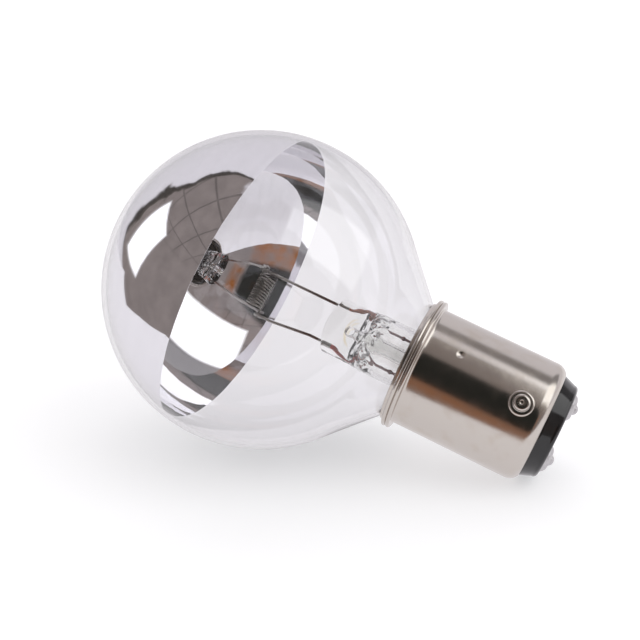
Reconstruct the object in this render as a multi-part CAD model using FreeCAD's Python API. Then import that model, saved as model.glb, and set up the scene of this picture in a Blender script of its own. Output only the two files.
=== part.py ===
import FreeCAD
import Part
import math
import os

# Surgical lamp bulb: a clear glass globe with a mirrored crown, a pinched glass stem that
# carries one coiled filament across the middle of the globe, and a two contact bayonet cap.
#
# Lamp frame: +X runs from the crown to the cap along the lamp's axis, with the middle of the
# globe at the origin. The bayonet pins stand on the Y line and the contacts and leads lie on
# the Z line. At the end the lamp is rolled about its axis, tilted, and set down on the plane
# z = 0, where it lies on its globe and on the rounded end of its cap.
#
# Lengths are in millimetres and angles in degrees.

# Globe and neck
globe_radius = 20.0
glass_wall = 0.8
shoulder_angle = 43.0
neck_clearance = 0.7
neck_fillet_radius = 1.5
neck_depth_in_cap = 5.6

# Mirror film on the inside of the crown
mirror_film_thickness = 0.06
mirror_rim_setback = 2.3
mirror_rim_lean = 3.1

# Cap shell
cap_radius = 7.6
cap_wall = 0.3
cap_length = 18.0
cap_end_radius = 1.65
cap_end_turn = 61.0
mouth_widening = 0.2
mouth_clearance = 0.05
mouth_lip_length = 0.45
mouth_edge_radius = 0.12
flange_height = 0.9
flange_lobe_radius = 0.27
flange_fillet_radius = 0.35
punch_from_mouth = 5.9
punch_turn = 16.5
punch_radius = 0.45
punch_depth = 0.16

# Basing cement
cement_start_gap = 1.6
cement_setback = 0.4

# Bayonet pins
pin_radius = 1.0
pin_height = 1.05
pin_edge_radius = 0.2
pin_shank_radius = 0.8
pin_dish_radius = 0.55
pin_dish_depth = 0.35
pin_collar_radius = 1.55
pin_collar_height = 0.3
pin_collar_edge_radius = 0.2
pin_rivet_radius = 1.4
pin_rivet_height = 0.4
pin_to_insulator_gap = 0.2

# Insulator
insulator_reach = 2.0
insulator_seat_length = 0.36
insulator_boss_length = 1.2
insulator_boss_clearance = 0.3
insulator_end_inset = 1.55
insulator_edge_radius = 0.5

# Contacts
contact_edge_gap = 0.75
contact_plate_radius = 1.9
contact_plate_thickness = 0.3
eyelet_radius = 0.75
eyelet_bore_radius = 0.4
solder_edge_gap = 0.1
solder_height = 1.1
solder_tip_radius = 0.75
solder_swell_height = 0.09

# Filament
coil_wire_radius = 0.12
coil_outer_radius = 1.1
coil_half_turns = 21
coil_pitch = 0.37
coil_offset = 0.1
coil_drop = 0.3
coil_to_upper_lead = 0.86
coil_to_lower_lead = 0.85
coil_to_press = 9.3
tail_past_lead = 0.3
hook_return_length = 0.45
hook_clearance = 0.01

# Glass stem: a press that holds the wires, a tube, and a flare that is sealed to the neck
press_length = 4.0
press_side_cover = 0.55
press_thickness = 2.8
press_end_radius = 7.0
press_shoulder_length = 2.7
stem_radius = 3.8
stem_wall = 0.6
stem_cavity_length = 1.2
stem_cavity_tip_radius = 1.5
flare_length = 4.4
flare_rim_thickness = 0.7

# Exhaust tube
exhaust_radius = 1.0
exhaust_wall = 0.35
exhaust_socket_depth = 0.7
exhaust_end_gap = 5.0
exhaust_hole_radius = 0.55
exhaust_hole_from_press = 3.2

# Wires
inner_lead_radius = 0.18
inner_lead_in_press = 1.9
lower_lead_bend_from_press = 1.2
lower_lead_straight_length = 2.0
seal_wire_radius = 0.16
seal_wire_length = 3.9
seal_wire_bow_height = 0.55
seal_wire_end_length = 0.4
seal_wire_ramp_length = 0.75
seal_wire_bend_radius = 0.6
outer_lead_radius = 0.165
outer_lead_to_bore = 0.95
outer_lead_splay_length = 3.0
outer_lead_end_length = 1.3
weld_knot_radius = 0.3
upper_knot_from_seal = 3.6
lower_knot_from_seal = 3.95
lead_bend_radius = 2.0

# How the lamp lies
cap_roll = 35.0

ORIGIN = FreeCAD.Vector(0, 0, 0)
X_AXIS = FreeCAD.Vector(1, 0, 0)
Y_AXIS = FreeCAD.Vector(0, 1, 0)
Z_AXIS = FreeCAD.Vector(0, 0, 1)

# Sizes that follow from the ones above
shoulder = math.radians(shoulder_angle)
end_turn = math.radians(cap_end_turn)

cap_inner_radius = cap_radius - cap_wall
mouth_radius = cap_inner_radius + mouth_widening
mouth_glass_radius = mouth_radius - mouth_clearance
cap_start = (globe_radius - mouth_glass_radius * math.sin(shoulder)) / math.cos(shoulder)
cap_end = cap_start + cap_length
flange_radius = cap_radius + flange_height
round_start = cap_end - cap_end_radius * math.sin(end_turn)
round_middle_radius = cap_radius - cap_end_radius

neck_radius = cap_inner_radius - neck_clearance
neck_inner_radius = neck_radius - glass_wall
neck_end = cap_start + neck_depth_in_cap
fillet_middle_radius = neck_radius + neck_fillet_radius
fillet_middle = (
    (globe_radius + neck_fillet_radius - fillet_middle_radius * math.sin(shoulder))
    / math.cos(shoulder)
)

insulator_end = cap_end + insulator_reach
insulator_end_radius = cap_radius - insulator_end_inset
insulator_seat = round_start - insulator_seat_length
insulator_start = insulator_seat - insulator_boss_length
insulator_boss_radius = cap_inner_radius - pin_rivet_height - insulator_boss_clearance
contact_tip = insulator_end + solder_height
contact_offset = insulator_end_radius - contact_plate_radius - contact_edge_gap
solder_radius = contact_plate_radius - solder_edge_gap
pin_middle = insulator_seat - pin_to_insulator_gap - pin_rivet_radius
pin_top_radius = cap_radius + pin_height

coil_middle = -coil_offset
coil_radius = coil_outer_radius - coil_wire_radius
coil_length = coil_half_turns * coil_pitch / 2
coil_bottom = -coil_drop - coil_length / 2
coil_top = coil_bottom + coil_length
tail_offset = inner_lead_radius + coil_wire_radius + hook_clearance
upper_lead_height = coil_top + coil_to_upper_lead
lower_lead_height = coil_bottom - coil_to_lower_lead

press_start = coil_middle + coil_to_press
press_end = press_start + press_length
press_width = 2 * (upper_lead_height + seal_wire_bow_height + press_side_cover)
tube_start = press_end + press_shoulder_length
stem_bore_radius = stem_radius - stem_wall
seal_start = press_start + inner_lead_in_press
seal_end = seal_start + seal_wire_length
outer_lead_height = stem_bore_radius - outer_lead_to_bore
exhaust_start = press_end + exhaust_socket_depth
exhaust_end = insulator_start - exhaust_end_gap


def point(x, r):
    """A point of a profile: x along the axis, r out from it."""
    return FreeCAD.Vector(x, r, 0)


def line(start, end):
    """A straight edge between two points."""
    return Part.LineSegment(start, end).toShape()


def arc(x, r, radius, first, last):
    """A round edge of a profile about the point (x, r), from one angle to another in degrees."""
    angles = [math.radians(a) for a in (first, (first + last) / 2, last)]
    ends = [point(x + radius * math.cos(a), r + radius * math.sin(a)) for a in angles]
    return Part.Arc(*ends).toShape()


def start_of(edge):
    """The point where an edge begins."""
    return edge.valueAt(edge.FirstParameter)


def end_of(edge):
    """The point where an edge stops."""
    return edge.valueAt(edge.LastParameter)


def closed_face(pieces):
    """A flat face: edges and loose corner points in order, joined by straight lines."""
    edges = []
    corners = []
    for piece in pieces:
        is_corner = isinstance(piece, FreeCAD.Vector)
        corners.append((piece, piece) if is_corner else (start_of(piece), end_of(piece)))
    for index, piece in enumerate(pieces):
        if not isinstance(piece, FreeCAD.Vector):
            edges.append(piece)
        here = corners[index][1]
        there = corners[(index + 1) % len(pieces)][0]
        if here.distanceToPoint(there) > 1e-7:
            edges.append(line(here, there))
    return Part.Face(Part.Wire(edges))


def turned(pieces):
    """A body turned about the lamp's axis from the profile that the pieces enclose."""
    return closed_face(pieces).revolve(ORIGIN, X_AXIS, 360)


def rod(path, radius):
    """A round wire that follows a path of straight runs and tangent arcs."""
    first = path.OrderedEdges[0]
    start = path.OrderedVertexes[0].Point
    direction = first.tangentAt(first.FirstParameter)
    section = Part.Wire(Part.makeCircle(radius, start, direction))
    return path.makePipe(Part.Face(section))


def bent_path(corners, bend_radius):
    """Straight runs through the corner points, with a tangent arc at each inner corner."""
    edges = []
    here = corners[0]
    for before, corner, after in zip(corners, corners[1:], corners[2:]):
        back = (before - corner).normalize()
        onward = (after - corner).normalize()
        half_angle = back.getAngle(onward) / 2
        tangent = bend_radius / math.tan(half_angle)
        to_middle = (back + onward).normalize() * (bend_radius / math.sin(half_angle))
        bulge = corner + to_middle - (back + onward).normalize() * bend_radius
        arc_start = corner + back * tangent
        arc_end = corner + onward * tangent
        edges.append(line(here, arc_start))
        edges.append(Part.Arc(arc_start, bulge, arc_end).toShape())
        here = arc_end
    edges.append(line(here, corners[-1]))
    return Part.Wire(edges)


def hook_edges(x, height, side):
    """The bend at the end of a lead: half round a filament tail, and a short way back."""
    lead_end = FreeCAD.Vector(x, 0, height)
    far_side = FreeCAD.Vector(x - tail_offset, side * tail_offset, height)
    bend_end = FreeCAD.Vector(x, side * 2 * tail_offset, height)
    tip = bend_end + X_AXIS * hook_return_length
    return [Part.Arc(lead_end, far_side, bend_end).toShape(), line(bend_end, tip)]


def glass_outline():
    """The outside of the glass from the crown to the end of the neck."""
    return [
        arc(0, 0, globe_radius, 180, shoulder_angle),
        arc(fillet_middle, fillet_middle_radius, neck_fillet_radius, 180 + shoulder_angle, 270),
        point(neck_end, neck_radius),
    ]


def glass_envelope():
    """The blown globe with its shoulder and neck, one wall thick all over."""
    inner_radius = globe_radius - glass_wall
    return turned(glass_outline() + [
        point(neck_end, neck_inner_radius),
        arc(fillet_middle, fillet_middle_radius, neck_fillet_radius + glass_wall,
            270, 180 + shoulder_angle),
        arc(0, 0, inner_radius, shoulder_angle, 180),
    ])


def mirror_coating():
    """The silver film inside the crown, cut off by a rim plane that leans a little."""
    outside = globe_radius - glass_wall
    film = turned([
        arc(0, 0, outside, 180, shoulder_angle),
        arc(0, 0, outside - mirror_film_thickness, shoulder_angle, 180),
    ])
    reach = 2 * globe_radius
    crown_side = Part.makeBox(reach, 2 * reach, 2 * reach, FreeCAD.Vector(-reach, -reach, -reach))
    crown_side.rotate(ORIGIN, Z_AXIS, -mirror_rim_lean)
    crown_side.translate(X_AXIS * -mirror_rim_setback)
    return film.common(crown_side)


def press_section(x):
    """The outline of the press at x: two flat sides joined by half rounds."""
    half = press_thickness / 2
    flat = press_width / 2 - half
    corners = [FreeCAD.Vector(x, y, z) for y, z in
               ((-half, -flat), (-half, flat), (half, flat), (half, -flat))]
    top = FreeCAD.Vector(x, 0, press_width / 2)
    bottom = FreeCAD.Vector(x, 0, -press_width / 2)
    return Part.Wire([
        line(corners[0], corners[1]),
        Part.Arc(corners[1], top, corners[2]).toShape(),
        line(corners[2], corners[3]),
        Part.Arc(corners[3], bottom, corners[0]).toShape(),
    ])


def tube_section(x):
    """The outline of the stem tube at x, in four arcs that match those of the press."""
    def at(angle):
        turn = math.radians(angle)
        return FreeCAD.Vector(x, stem_radius * math.cos(turn), stem_radius * math.sin(turn))
    quarters = ((225, 180, 135), (135, 90, 45), (45, 0, -45), (-45, -90, -135))
    return Part.Wire([Part.Arc(at(a), at(b), at(c)).toShape() for a, b, c in quarters])


def flare_arc(start_x, start_r, end_x, end_r):
    """An arc that leaves level at its start and widens to its end."""
    rise = end_r - start_r
    run = end_x - start_x
    radius = (run ** 2 + rise ** 2) / (2 * rise)
    turn = math.asin(run / radius) / 2
    middle = point(start_x + radius * math.sin(turn), start_r + radius * (1 - math.cos(turn)))
    return Part.Arc(point(start_x, start_r), middle, point(end_x, end_r)).toShape()


def glass_stem(wires):
    """The pinched press, the tube behind it and the flare, with room for wires and tube."""
    flare_start = neck_end - flare_length
    rim_end = neck_end + flare_rim_thickness
    press = Part.Face(press_section(press_start)).extrude(X_AXIS * press_length)
    ball = Part.makeSphere(press_end_radius, FreeCAD.Vector(press_start + press_end_radius, 0, 0))
    beyond_ball = Part.makeBox(
        press_length, 2 * press_width, 2 * press_width,
        FreeCAD.Vector(press_start + press_end_radius / 2, -press_width, -press_width))
    press = press.common(ball.fuse(beyond_ball))
    shoulder_body = Part.makeLoft([press_section(press_end), tube_section(tube_start)], True)
    tube = turned([
        point(tube_start, 0),
        point(tube_start, stem_radius),
        flare_arc(flare_start, stem_radius, neck_end, neck_inner_radius),
        point(neck_end, neck_radius),
        point(rim_end, neck_radius),
        point(rim_end, 0),
    ])
    cavity_start = tube_start - stem_cavity_length
    cavity = turned([
        point(cavity_start, 0),
        point(cavity_start, stem_cavity_tip_radius),
        point(tube_start, stem_bore_radius),
        flare_arc(flare_start, stem_bore_radius, rim_end, neck_inner_radius),
        point(rim_end, 0),
    ])
    hole_x = press_start + exhaust_hole_from_press
    bore = exhaust_radius - exhaust_wall
    channel = Part.makeCylinder(bore, exhaust_start - hole_x, point(hole_x, 0), X_AXIS)
    side_hole = Part.makeCylinder(exhaust_hole_radius, press_thickness, point(hole_x, 0), -Y_AXIS)
    stem = press.fuse([shoulder_body, tube]).removeSplitter()
    filled_exhaust = Part.makeCylinder(
        exhaust_radius, exhaust_end - exhaust_start, point(exhaust_start, 0), X_AXIS)
    return stem.cut([cavity, channel, side_hole, filled_exhaust] + wires)


def exhaust_tube():
    """The thin tube through which the globe was emptied, closed and rounded at its far end."""
    bore = exhaust_radius - exhaust_wall
    dome_x = exhaust_end - exhaust_radius
    return turned([
        point(exhaust_start, bore),
        point(exhaust_start, exhaust_radius),
        arc(dome_x, 0, exhaust_radius, 90, 0),
        arc(dome_x, 0, bore, 0, 90),
    ])


def filament():
    """One coil across the axis, of half turns that each advance half a pitch, with two tails."""
    edges = []
    here = FreeCAD.Vector(coil_middle + coil_radius, 0, coil_bottom)
    lower_end = FreeCAD.Vector(here.x, tail_offset, lower_lead_height - tail_past_lead)
    lower_bend = FreeCAD.Vector(here.x, tail_offset, coil_bottom - tail_offset)
    diagonal = tail_offset * math.sqrt(0.5)
    lower_middle = FreeCAD.Vector(here.x, diagonal, coil_bottom - tail_offset + diagonal)
    edges.append(line(lower_end, lower_bend))
    edges.append(Part.Arc(lower_bend, lower_middle, here).toShape())
    for half_turn in range(coil_half_turns):
        side = -1 if half_turn % 2 == 0 else 1
        there = FreeCAD.Vector(coil_middle + side * coil_radius, 0, here.z + coil_pitch / 2)
        half_chord = here.distanceToPoint(there) / 2
        outermost = (here + there) * 0.5 + Y_AXIS * (side * half_chord)
        edges.append(Part.Arc(here, outermost, there).toShape())
        here = there
    # The last half turn leaves towards the same side that it passed, so the tail bends there.
    tail_side = 1 if coil_half_turns % 2 else -1
    upper_bend = FreeCAD.Vector(here.x, tail_side * tail_offset, coil_top + tail_offset)
    upper_middle = FreeCAD.Vector(
        here.x, tail_side * diagonal, coil_top + tail_offset - diagonal)
    upper_end = FreeCAD.Vector(
        here.x, tail_side * tail_offset, upper_lead_height + tail_past_lead)
    edges.append(Part.Arc(here, upper_middle, upper_bend).toShape())
    edges.append(line(upper_bend, upper_end))
    return rod(Part.Wire(edges), coil_wire_radius)


def inner_lead_upper():
    """The nickel lead above the axis: straight from the press to its hook on the coil's tail."""
    side = 1 if coil_half_turns % 2 else -1
    tail_x = coil_middle - side * coil_radius
    run = line(
        FreeCAD.Vector(seal_start, 0, upper_lead_height),
        FreeCAD.Vector(tail_x, 0, upper_lead_height))
    return rod(Part.Wire([run] + hook_edges(tail_x, upper_lead_height, side)), inner_lead_radius)


def inner_lead_lower():
    """The nickel lead below the axis, which leans out a little on its way to the coil."""
    tail_x = coil_middle + coil_radius
    corners = [
        FreeCAD.Vector(seal_start, 0, -upper_lead_height),
        FreeCAD.Vector(press_start - lower_lead_bend_from_press, 0, -upper_lead_height),
        FreeCAD.Vector(tail_x + lower_lead_straight_length, 0, lower_lead_height),
        FreeCAD.Vector(tail_x, 0, lower_lead_height),
    ]
    path = bent_path(corners, lead_bend_radius).OrderedEdges
    return rod(Part.Wire(path + hook_edges(tail_x, lower_lead_height, 1)), inner_lead_radius)


def seal_wire(side):
    """The copper clad wire that the glass of the press is fused to, bowed outwards."""
    bow_height = upper_lead_height + seal_wire_bow_height
    bow_start = seal_start + seal_wire_end_length + seal_wire_ramp_length
    bow_end = seal_end - seal_wire_end_length - seal_wire_ramp_length
    path = bent_path([
        FreeCAD.Vector(seal_start, 0, side * upper_lead_height),
        FreeCAD.Vector(seal_start + seal_wire_end_length, 0, side * upper_lead_height),
        FreeCAD.Vector(bow_start, 0, side * bow_height),
        FreeCAD.Vector(bow_end, 0, side * bow_height),
        FreeCAD.Vector(seal_end - seal_wire_end_length, 0, side * outer_lead_height),
        FreeCAD.Vector(seal_end, 0, side * outer_lead_height),
    ], seal_wire_bend_radius)
    return rod(path, seal_wire_radius)


def outer_lead(side, knot_from_seal):
    """The wire from the press through the stem to a contact, with its weld knot."""
    splay_end = insulator_start - outer_lead_end_length
    path = bent_path([
        FreeCAD.Vector(seal_end, 0, side * outer_lead_height),
        FreeCAD.Vector(splay_end - outer_lead_splay_length, 0, side * outer_lead_height),
        FreeCAD.Vector(splay_end, 0, side * contact_offset),
        FreeCAD.Vector(insulator_end, 0, side * contact_offset),
    ], lead_bend_radius)
    knot_middle = FreeCAD.Vector(seal_end + knot_from_seal, 0, side * outer_lead_height)
    knot = Part.makeSphere(weld_knot_radius, knot_middle)
    return rod(path, outer_lead_radius).fuse(knot)


def cap_shell():
    """The drawn metal shell: doubled flange at the mouth, plain wall, and rounded far end."""
    tip = flange_radius - flange_lobe_radius
    lip_radius = mouth_radius + cap_wall
    flange_front = cap_start + mouth_lip_length
    flange_back = flange_front + 4 * flange_lobe_radius
    turn = cap_end_turn
    shell = turned([
        point(flange_front, cap_inner_radius),
        point(cap_start, mouth_radius),
        arc(cap_start + mouth_edge_radius, lip_radius - mouth_edge_radius, mouth_edge_radius, 180, 90),
        point(flange_front, lip_radius),
        arc(flange_front + flange_lobe_radius, tip, flange_lobe_radius, 180, 0),
        arc(flange_front + 3 * flange_lobe_radius, tip, flange_lobe_radius, 180, 0),
        arc(flange_back + flange_fillet_radius, cap_radius + flange_fillet_radius,
            flange_fillet_radius, 180, 270),
        arc(round_start, round_middle_radius, cap_end_radius, 90, 90 - turn),
        arc(round_start, round_middle_radius, cap_end_radius - cap_wall, 90 - turn, 90),
    ])
    pin_holes = Part.makeCylinder(
        pin_shank_radius, 2 * flange_radius, FreeCAD.Vector(pin_middle, -flange_radius, 0), Y_AXIS)
    # A ball that dips into the wall leaves the round punch mark beside the flange.
    dip = punch_depth
    ball_radius = (punch_radius ** 2 + dip ** 2) / (2 * dip)
    ball_out = cap_radius - dip + ball_radius
    punch = Part.makeSphere(
        ball_radius, FreeCAD.Vector(cap_start + punch_from_mouth, -ball_out, 0))
    punch.rotate(ORIGIN, X_AXIS, -punch_turn)
    return shell.cut([pin_holes, punch])


def basing_cement():
    """The ring of cement between the neck and the shell."""
    start_x = cap_start + mouth_lip_length + cement_start_gap
    length = neck_end - cement_setback - start_x
    plug = Part.makeCylinder(cap_inner_radius, length, point(start_x, 0), X_AXIS)
    return plug.cut(turned(glass_outline() + [point(neck_end, 0)]))


def bayonet_pin(side):
    """A dished pin riveted through the shell, with a collar outside and a rivet head inside."""
    collar_top = cap_radius + pin_collar_height
    rivet_start = cap_inner_radius - pin_rivet_height

    def out(radius, reach):
        """A corner of the pin's own profile: radius from the pin's axis, reach from the lamp's."""
        return FreeCAD.Vector(pin_middle + radius, side * reach, 0)

    def rounded(radius, reach, size):
        """A quarter round of one size on the outer corner at radius and reach."""
        bulge = size * (1 - math.sqrt(0.5))
        return Part.Arc(
            out(radius, reach - size), out(radius - bulge, reach - bulge),
            out(radius - size, reach)).toShape()

    dish_floor = pin_top_radius - pin_dish_depth
    profile = closed_face([
        out(0, rivet_start),
        out(pin_rivet_radius, rivet_start),
        out(pin_rivet_radius, cap_inner_radius),
        out(pin_shank_radius, cap_inner_radius),
        out(pin_shank_radius, cap_radius - cap_wall / 2),
        out(pin_collar_radius, cap_radius - cap_wall / 2),
        rounded(pin_collar_radius, collar_top, pin_collar_edge_radius),
        out(pin_radius, collar_top),
        rounded(pin_radius, pin_top_radius, pin_edge_radius),
        out(pin_dish_radius, pin_top_radius),
        out(0, dish_floor),
    ])
    pin = profile.revolve(FreeCAD.Vector(pin_middle, 0, 0), Y_AXIS, 360)
    # The collar sits on the round outside of the shell and the rivet head in its round inside.
    length = 4 * pin_rivet_radius
    start = point(pin_middle - length / 2, 0)
    wall = Part.makeCylinder(cap_radius, length, start, X_AXIS)
    wall = wall.cut(Part.makeCylinder(cap_inner_radius, length, start, X_AXIS))
    shank = Part.makeCylinder(
        pin_shank_radius, flange_radius, point(pin_middle, 0), Y_AXIS * side)
    return pin.cut(wall.cut(shank))


def insulator():
    """The black insulator: fills the rounded end of the shell and carries both contacts."""
    turn = cap_end_turn
    corner = insulator_end_radius - insulator_edge_radius
    body = turned([
        point(insulator_start, 0),
        point(insulator_start, insulator_boss_radius),
        point(insulator_seat, insulator_boss_radius),
        point(insulator_seat, cap_inner_radius),
        arc(round_start, round_middle_radius, cap_end_radius - cap_wall, 90, 90 - turn),
        arc(insulator_end - insulator_edge_radius, corner, insulator_edge_radius, 90, 0),
        point(insulator_end, 0),
    ])
    return body.cut([contact_plate_blank(1), contact_plate_blank(-1)])


def contact_plate_blank(side):
    """A contact plate and its eyelet with no bore, which is also the room they need."""
    depth = insulator_end - insulator_start
    middle = side * contact_offset
    eyelet = Part.makeCylinder(
        eyelet_radius, depth, FreeCAD.Vector(insulator_start, 0, middle), X_AXIS)
    plate = Part.makeCylinder(
        contact_plate_radius, contact_plate_thickness,
        FreeCAD.Vector(insulator_end - contact_plate_thickness, 0, middle), X_AXIS)
    return eyelet.fuse(plate).removeSplitter()


def contact_plate(side):
    """A round brass plate let into the insulator, with an eyelet that leads the wire out."""
    depth = insulator_end - insulator_start
    bore = Part.makeCylinder(
        eyelet_bore_radius, depth,
        FreeCAD.Vector(insulator_start, 0, side * contact_offset), X_AXIS)
    return contact_plate_blank(side).cut(bore)


def solder_contact(side):
    """The dome of solder on a contact plate that covers the end of the wire."""
    tip_middle = contact_tip - solder_tip_radius
    base_angle = math.degrees(math.atan2(solder_radius, solder_tip_radius))
    tip = arc(tip_middle, 0, solder_tip_radius, base_angle, 0)
    base = point(insulator_end, solder_radius)
    chord = start_of(tip) - base
    outward = FreeCAD.Vector(-chord.y, chord.x, 0).normalize()
    swell = base + chord * 0.5 + outward * solder_swell_height
    dome = turned([
        point(insulator_end, 0),
        Part.Arc(base, swell, start_of(tip)).toShape(),
        tip,
    ])
    dome.translate(Z_AXIS * (side * contact_offset))
    return dome


def resting_tilt():
    """The lean of the axis at which the globe and the rounded cap end touch one plane."""
    reach = math.hypot(round_start, round_middle_radius)
    lift = math.asin((globe_radius - cap_end_radius) / reach)
    return math.degrees(lift - math.atan2(round_middle_radius, round_start))


def build():
    """Every piece by name, each already rolled as it lies but not yet tilted."""
    leads = [inner_lead_upper(), inner_lead_lower()]
    seals = [seal_wire(1), seal_wire(-1)]
    outers = [
        outer_lead(1, upper_knot_from_seal),
        outer_lead(-1, lower_knot_from_seal),
    ]
    pieces = {
        "glass_stem": glass_stem(leads + seals + outers),
        "exhaust_tube": exhaust_tube(),
        "filament": filament(),
        "inner_lead_upper": leads[0],
        "inner_lead_lower": leads[1],
        "seal_wire_upper": seals[0],
        "seal_wire_lower": seals[1],
        "outer_lead_upper": outers[0],
        "outer_lead_lower": outers[1],
        "cap_shell": cap_shell(),
        "basing_cement": basing_cement(),
        "bayonet_pin_front": bayonet_pin(-1),
        "bayonet_pin_back": bayonet_pin(1),
        "insulator": insulator(),
        "contact_plate_upper": contact_plate(1),
        "contact_plate_lower": contact_plate(-1),
        "solder_contact_upper": solder_contact(1),
        "solder_contact_lower": solder_contact(-1),
    }
    for shape in pieces.values():
        shape.rotate(ORIGIN, X_AXIS, -cap_roll)
    pieces["glass_envelope"] = glass_envelope()
    pieces["mirror_coating"] = mirror_coating()
    return pieces


def lay_down(pieces):
    """Tilt every piece and set the lamp on z = 0, with the origin under its middle."""
    tilt = resting_tilt()
    for shape in pieces.values():
        shape.rotate(ORIGIN, Y_AXIS, tilt)
        shape.translate(Z_AXIS * globe_radius)
    box = Part.makeCompound(list(pieces.values())).optimalBoundingBox(False, False)
    middle = FreeCAD.Vector((box.XMin + box.XMax) / 2, (box.YMin + box.YMax) / 2, 0)
    for shape in pieces.values():
        shape.translate(middle * -1)
    return tilt, middle


def main():
    """Build the lamp and write one file per piece."""
    pieces = build()
    tilt, middle = lay_down(pieces)
    os.makedirs("parts", exist_ok=True)
    for name, shape in sorted(pieces.items()):
        shape.exportStep(os.path.join("parts", name + ".step"))
        print(name, "valid", shape.isValid(), "solids", len(shape.Solids),
              "volume", round(shape.Volume, 3))
    print("tilt", round(tilt, 4), "globe middle at x", round(-middle.x, 4))
    print("flange", round(cap_start, 3), "cap end", round(cap_end, 3),
          "pins", round(pin_middle, 3), "tip", round(contact_tip, 3))


main()
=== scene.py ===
"""Looks of the surgical lamp bulb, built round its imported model.

Every piece is worked out in the lamp's own frame in millimetres: +X runs from the mirrored
crown to the cap along the lamp's axis, the middle of the globe is at the origin, the bayonet
pins lie on the Y line and the contacts and leads on the Z line. The placement then rolls and
tilts the points and writes them in metres, so that every object sits at the origin.
"""
import logging
import math
from dataclasses import dataclass
from enum import Enum

import bmesh
import bpy
import numpy as np
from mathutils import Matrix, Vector

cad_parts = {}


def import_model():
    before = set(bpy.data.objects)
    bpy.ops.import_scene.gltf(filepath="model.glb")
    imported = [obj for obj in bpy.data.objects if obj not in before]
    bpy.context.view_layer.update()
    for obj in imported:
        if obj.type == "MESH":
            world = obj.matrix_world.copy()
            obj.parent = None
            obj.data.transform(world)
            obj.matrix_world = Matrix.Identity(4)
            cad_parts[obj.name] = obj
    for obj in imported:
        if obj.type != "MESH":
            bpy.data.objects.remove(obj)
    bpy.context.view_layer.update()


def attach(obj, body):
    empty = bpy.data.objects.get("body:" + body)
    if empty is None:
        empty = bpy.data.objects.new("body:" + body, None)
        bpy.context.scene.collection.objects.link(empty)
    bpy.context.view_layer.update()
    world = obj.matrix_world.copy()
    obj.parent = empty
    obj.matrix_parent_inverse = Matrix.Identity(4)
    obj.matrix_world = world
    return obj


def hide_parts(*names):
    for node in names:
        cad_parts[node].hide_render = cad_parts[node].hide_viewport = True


LOG = logging.getLogger("lamp")
MM = 0.001
MERGE = 2e-7


# Placement


class Turn(Enum):
    """Whether a piece is rolled about the lamp's axis with its cap."""

    ROLLED = True
    LEVEL = False


@dataclass(frozen=True)
class Placement:
    """Where the lamp's own frame lies in the part's frame."""

    tilt: float = math.radians(20.2089)
    roll: float = math.radians(-35.0)
    globe_middle: tuple[float, float, float] = (-9.9764, 0.0, 20.0)

    def matrix(self, turn: Turn) -> np.ndarray:
        """Rotation from the lamp's frame: the roll about X, then the tilt about Y.

        Args:
            turn: whether the roll is part of it.

        Returns:
            A 3 by 3 matrix.
        """
        roll = self.roll if turn is Turn.ROLLED else 0.0
        about_x = np.array([[1, 0, 0],
                            [0, math.cos(roll), -math.sin(roll)],
                            [0, math.sin(roll), math.cos(roll)]])
        about_y = np.array([[math.cos(self.tilt), 0, math.sin(self.tilt)],
                            [0, 1, 0],
                            [-math.sin(self.tilt), 0, math.cos(self.tilt)]])
        return about_y @ about_x

    def place(self, points: np.ndarray, turn: Turn) -> np.ndarray:
        """Moves lamp points in millimetres to the part's frame in metres.

        Args:
            points: any array whose last axis holds x, y and z.
            turn: whether the piece is rolled with the cap.

        Returns:
            An array of the same shape, in metres.
        """
        return (points @ self.matrix(turn).T + np.array(self.globe_middle)) * MM


PLACEMENT = Placement()


# Surfaces on grids of two parameters


def arc_points(x: float, r: float, radius: float, first: float, last: float, count: int) -> np.ndarray:
    """Points of a round: middle plus radius times the cosine and sine of evenly spaced angles.

    Args:
        x: middle along the axis.
        r: middle out from the axis.
        radius: radius of the round.
        first: first angle in degrees.
        last: last angle in degrees.
        count: number of points.

    Returns:
        An array of count rows of x and r.
    """
    angles = np.radians(np.linspace(first, last, count))
    return np.stack([x + radius * np.cos(angles), r + radius * np.sin(angles)], axis=1)


def run_points(start: tuple[float, float], end: tuple[float, float], count: int) -> np.ndarray:
    """Evenly spaced points of a straight run, both ends included.

    Args:
        start: x and r where the run begins.
        end: x and r where it ends.
        count: number of points.

    Returns:
        An array of count rows of x and r.
    """
    share = np.linspace(0.0, 1.0, count)[:, None]
    return np.array(start) * (1 - share) + np.array(end) * share


def turned_points(profile: np.ndarray, angles: np.ndarray) -> np.ndarray:
    """Turns a profile about X: y is minus r times the cosine and z is r times the sine.

    Args:
        profile: rows of x and r.
        angles: angles about the axis, zero towards the front.

    Returns:
        A grid of points, one row per profile point and one column per angle.
    """
    x = np.repeat(profile[:, :1], len(angles), axis=1)
    y = -profile[:, 1:] * np.cos(angles)[None, :]
    z = profile[:, 1:] * np.sin(angles)[None, :]
    return np.stack([x, y, z], axis=2)


def round_angles(count: int) -> np.ndarray:
    """Evenly spaced angles of one full turn, with no repeat at the end."""
    return np.linspace(0.0, 2 * math.pi, count, endpoint=False)


def grid_faces(rows: int, columns: int, rows_close: bool) -> np.ndarray:
    """Four corner numbers per cell of a grid whose columns always close.

    Args:
        rows: number of rows.
        columns: number of columns.
        rows_close: whether the last row joins the first one too.

    Returns:
        An array of faces, four vertex numbers each.
    """
    row = np.arange(rows if rows_close else rows - 1)[:, None]
    column = np.arange(columns)[None, :]
    after_row = (row + 1) % rows
    after_column = (column + 1) % columns
    corners = [row * columns + column, row * columns + after_column,
               after_row * columns + after_column, after_row * columns + column]
    return np.stack([np.broadcast_to(c, (len(row), columns)) for c in corners], axis=2).reshape(-1, 4)


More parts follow.
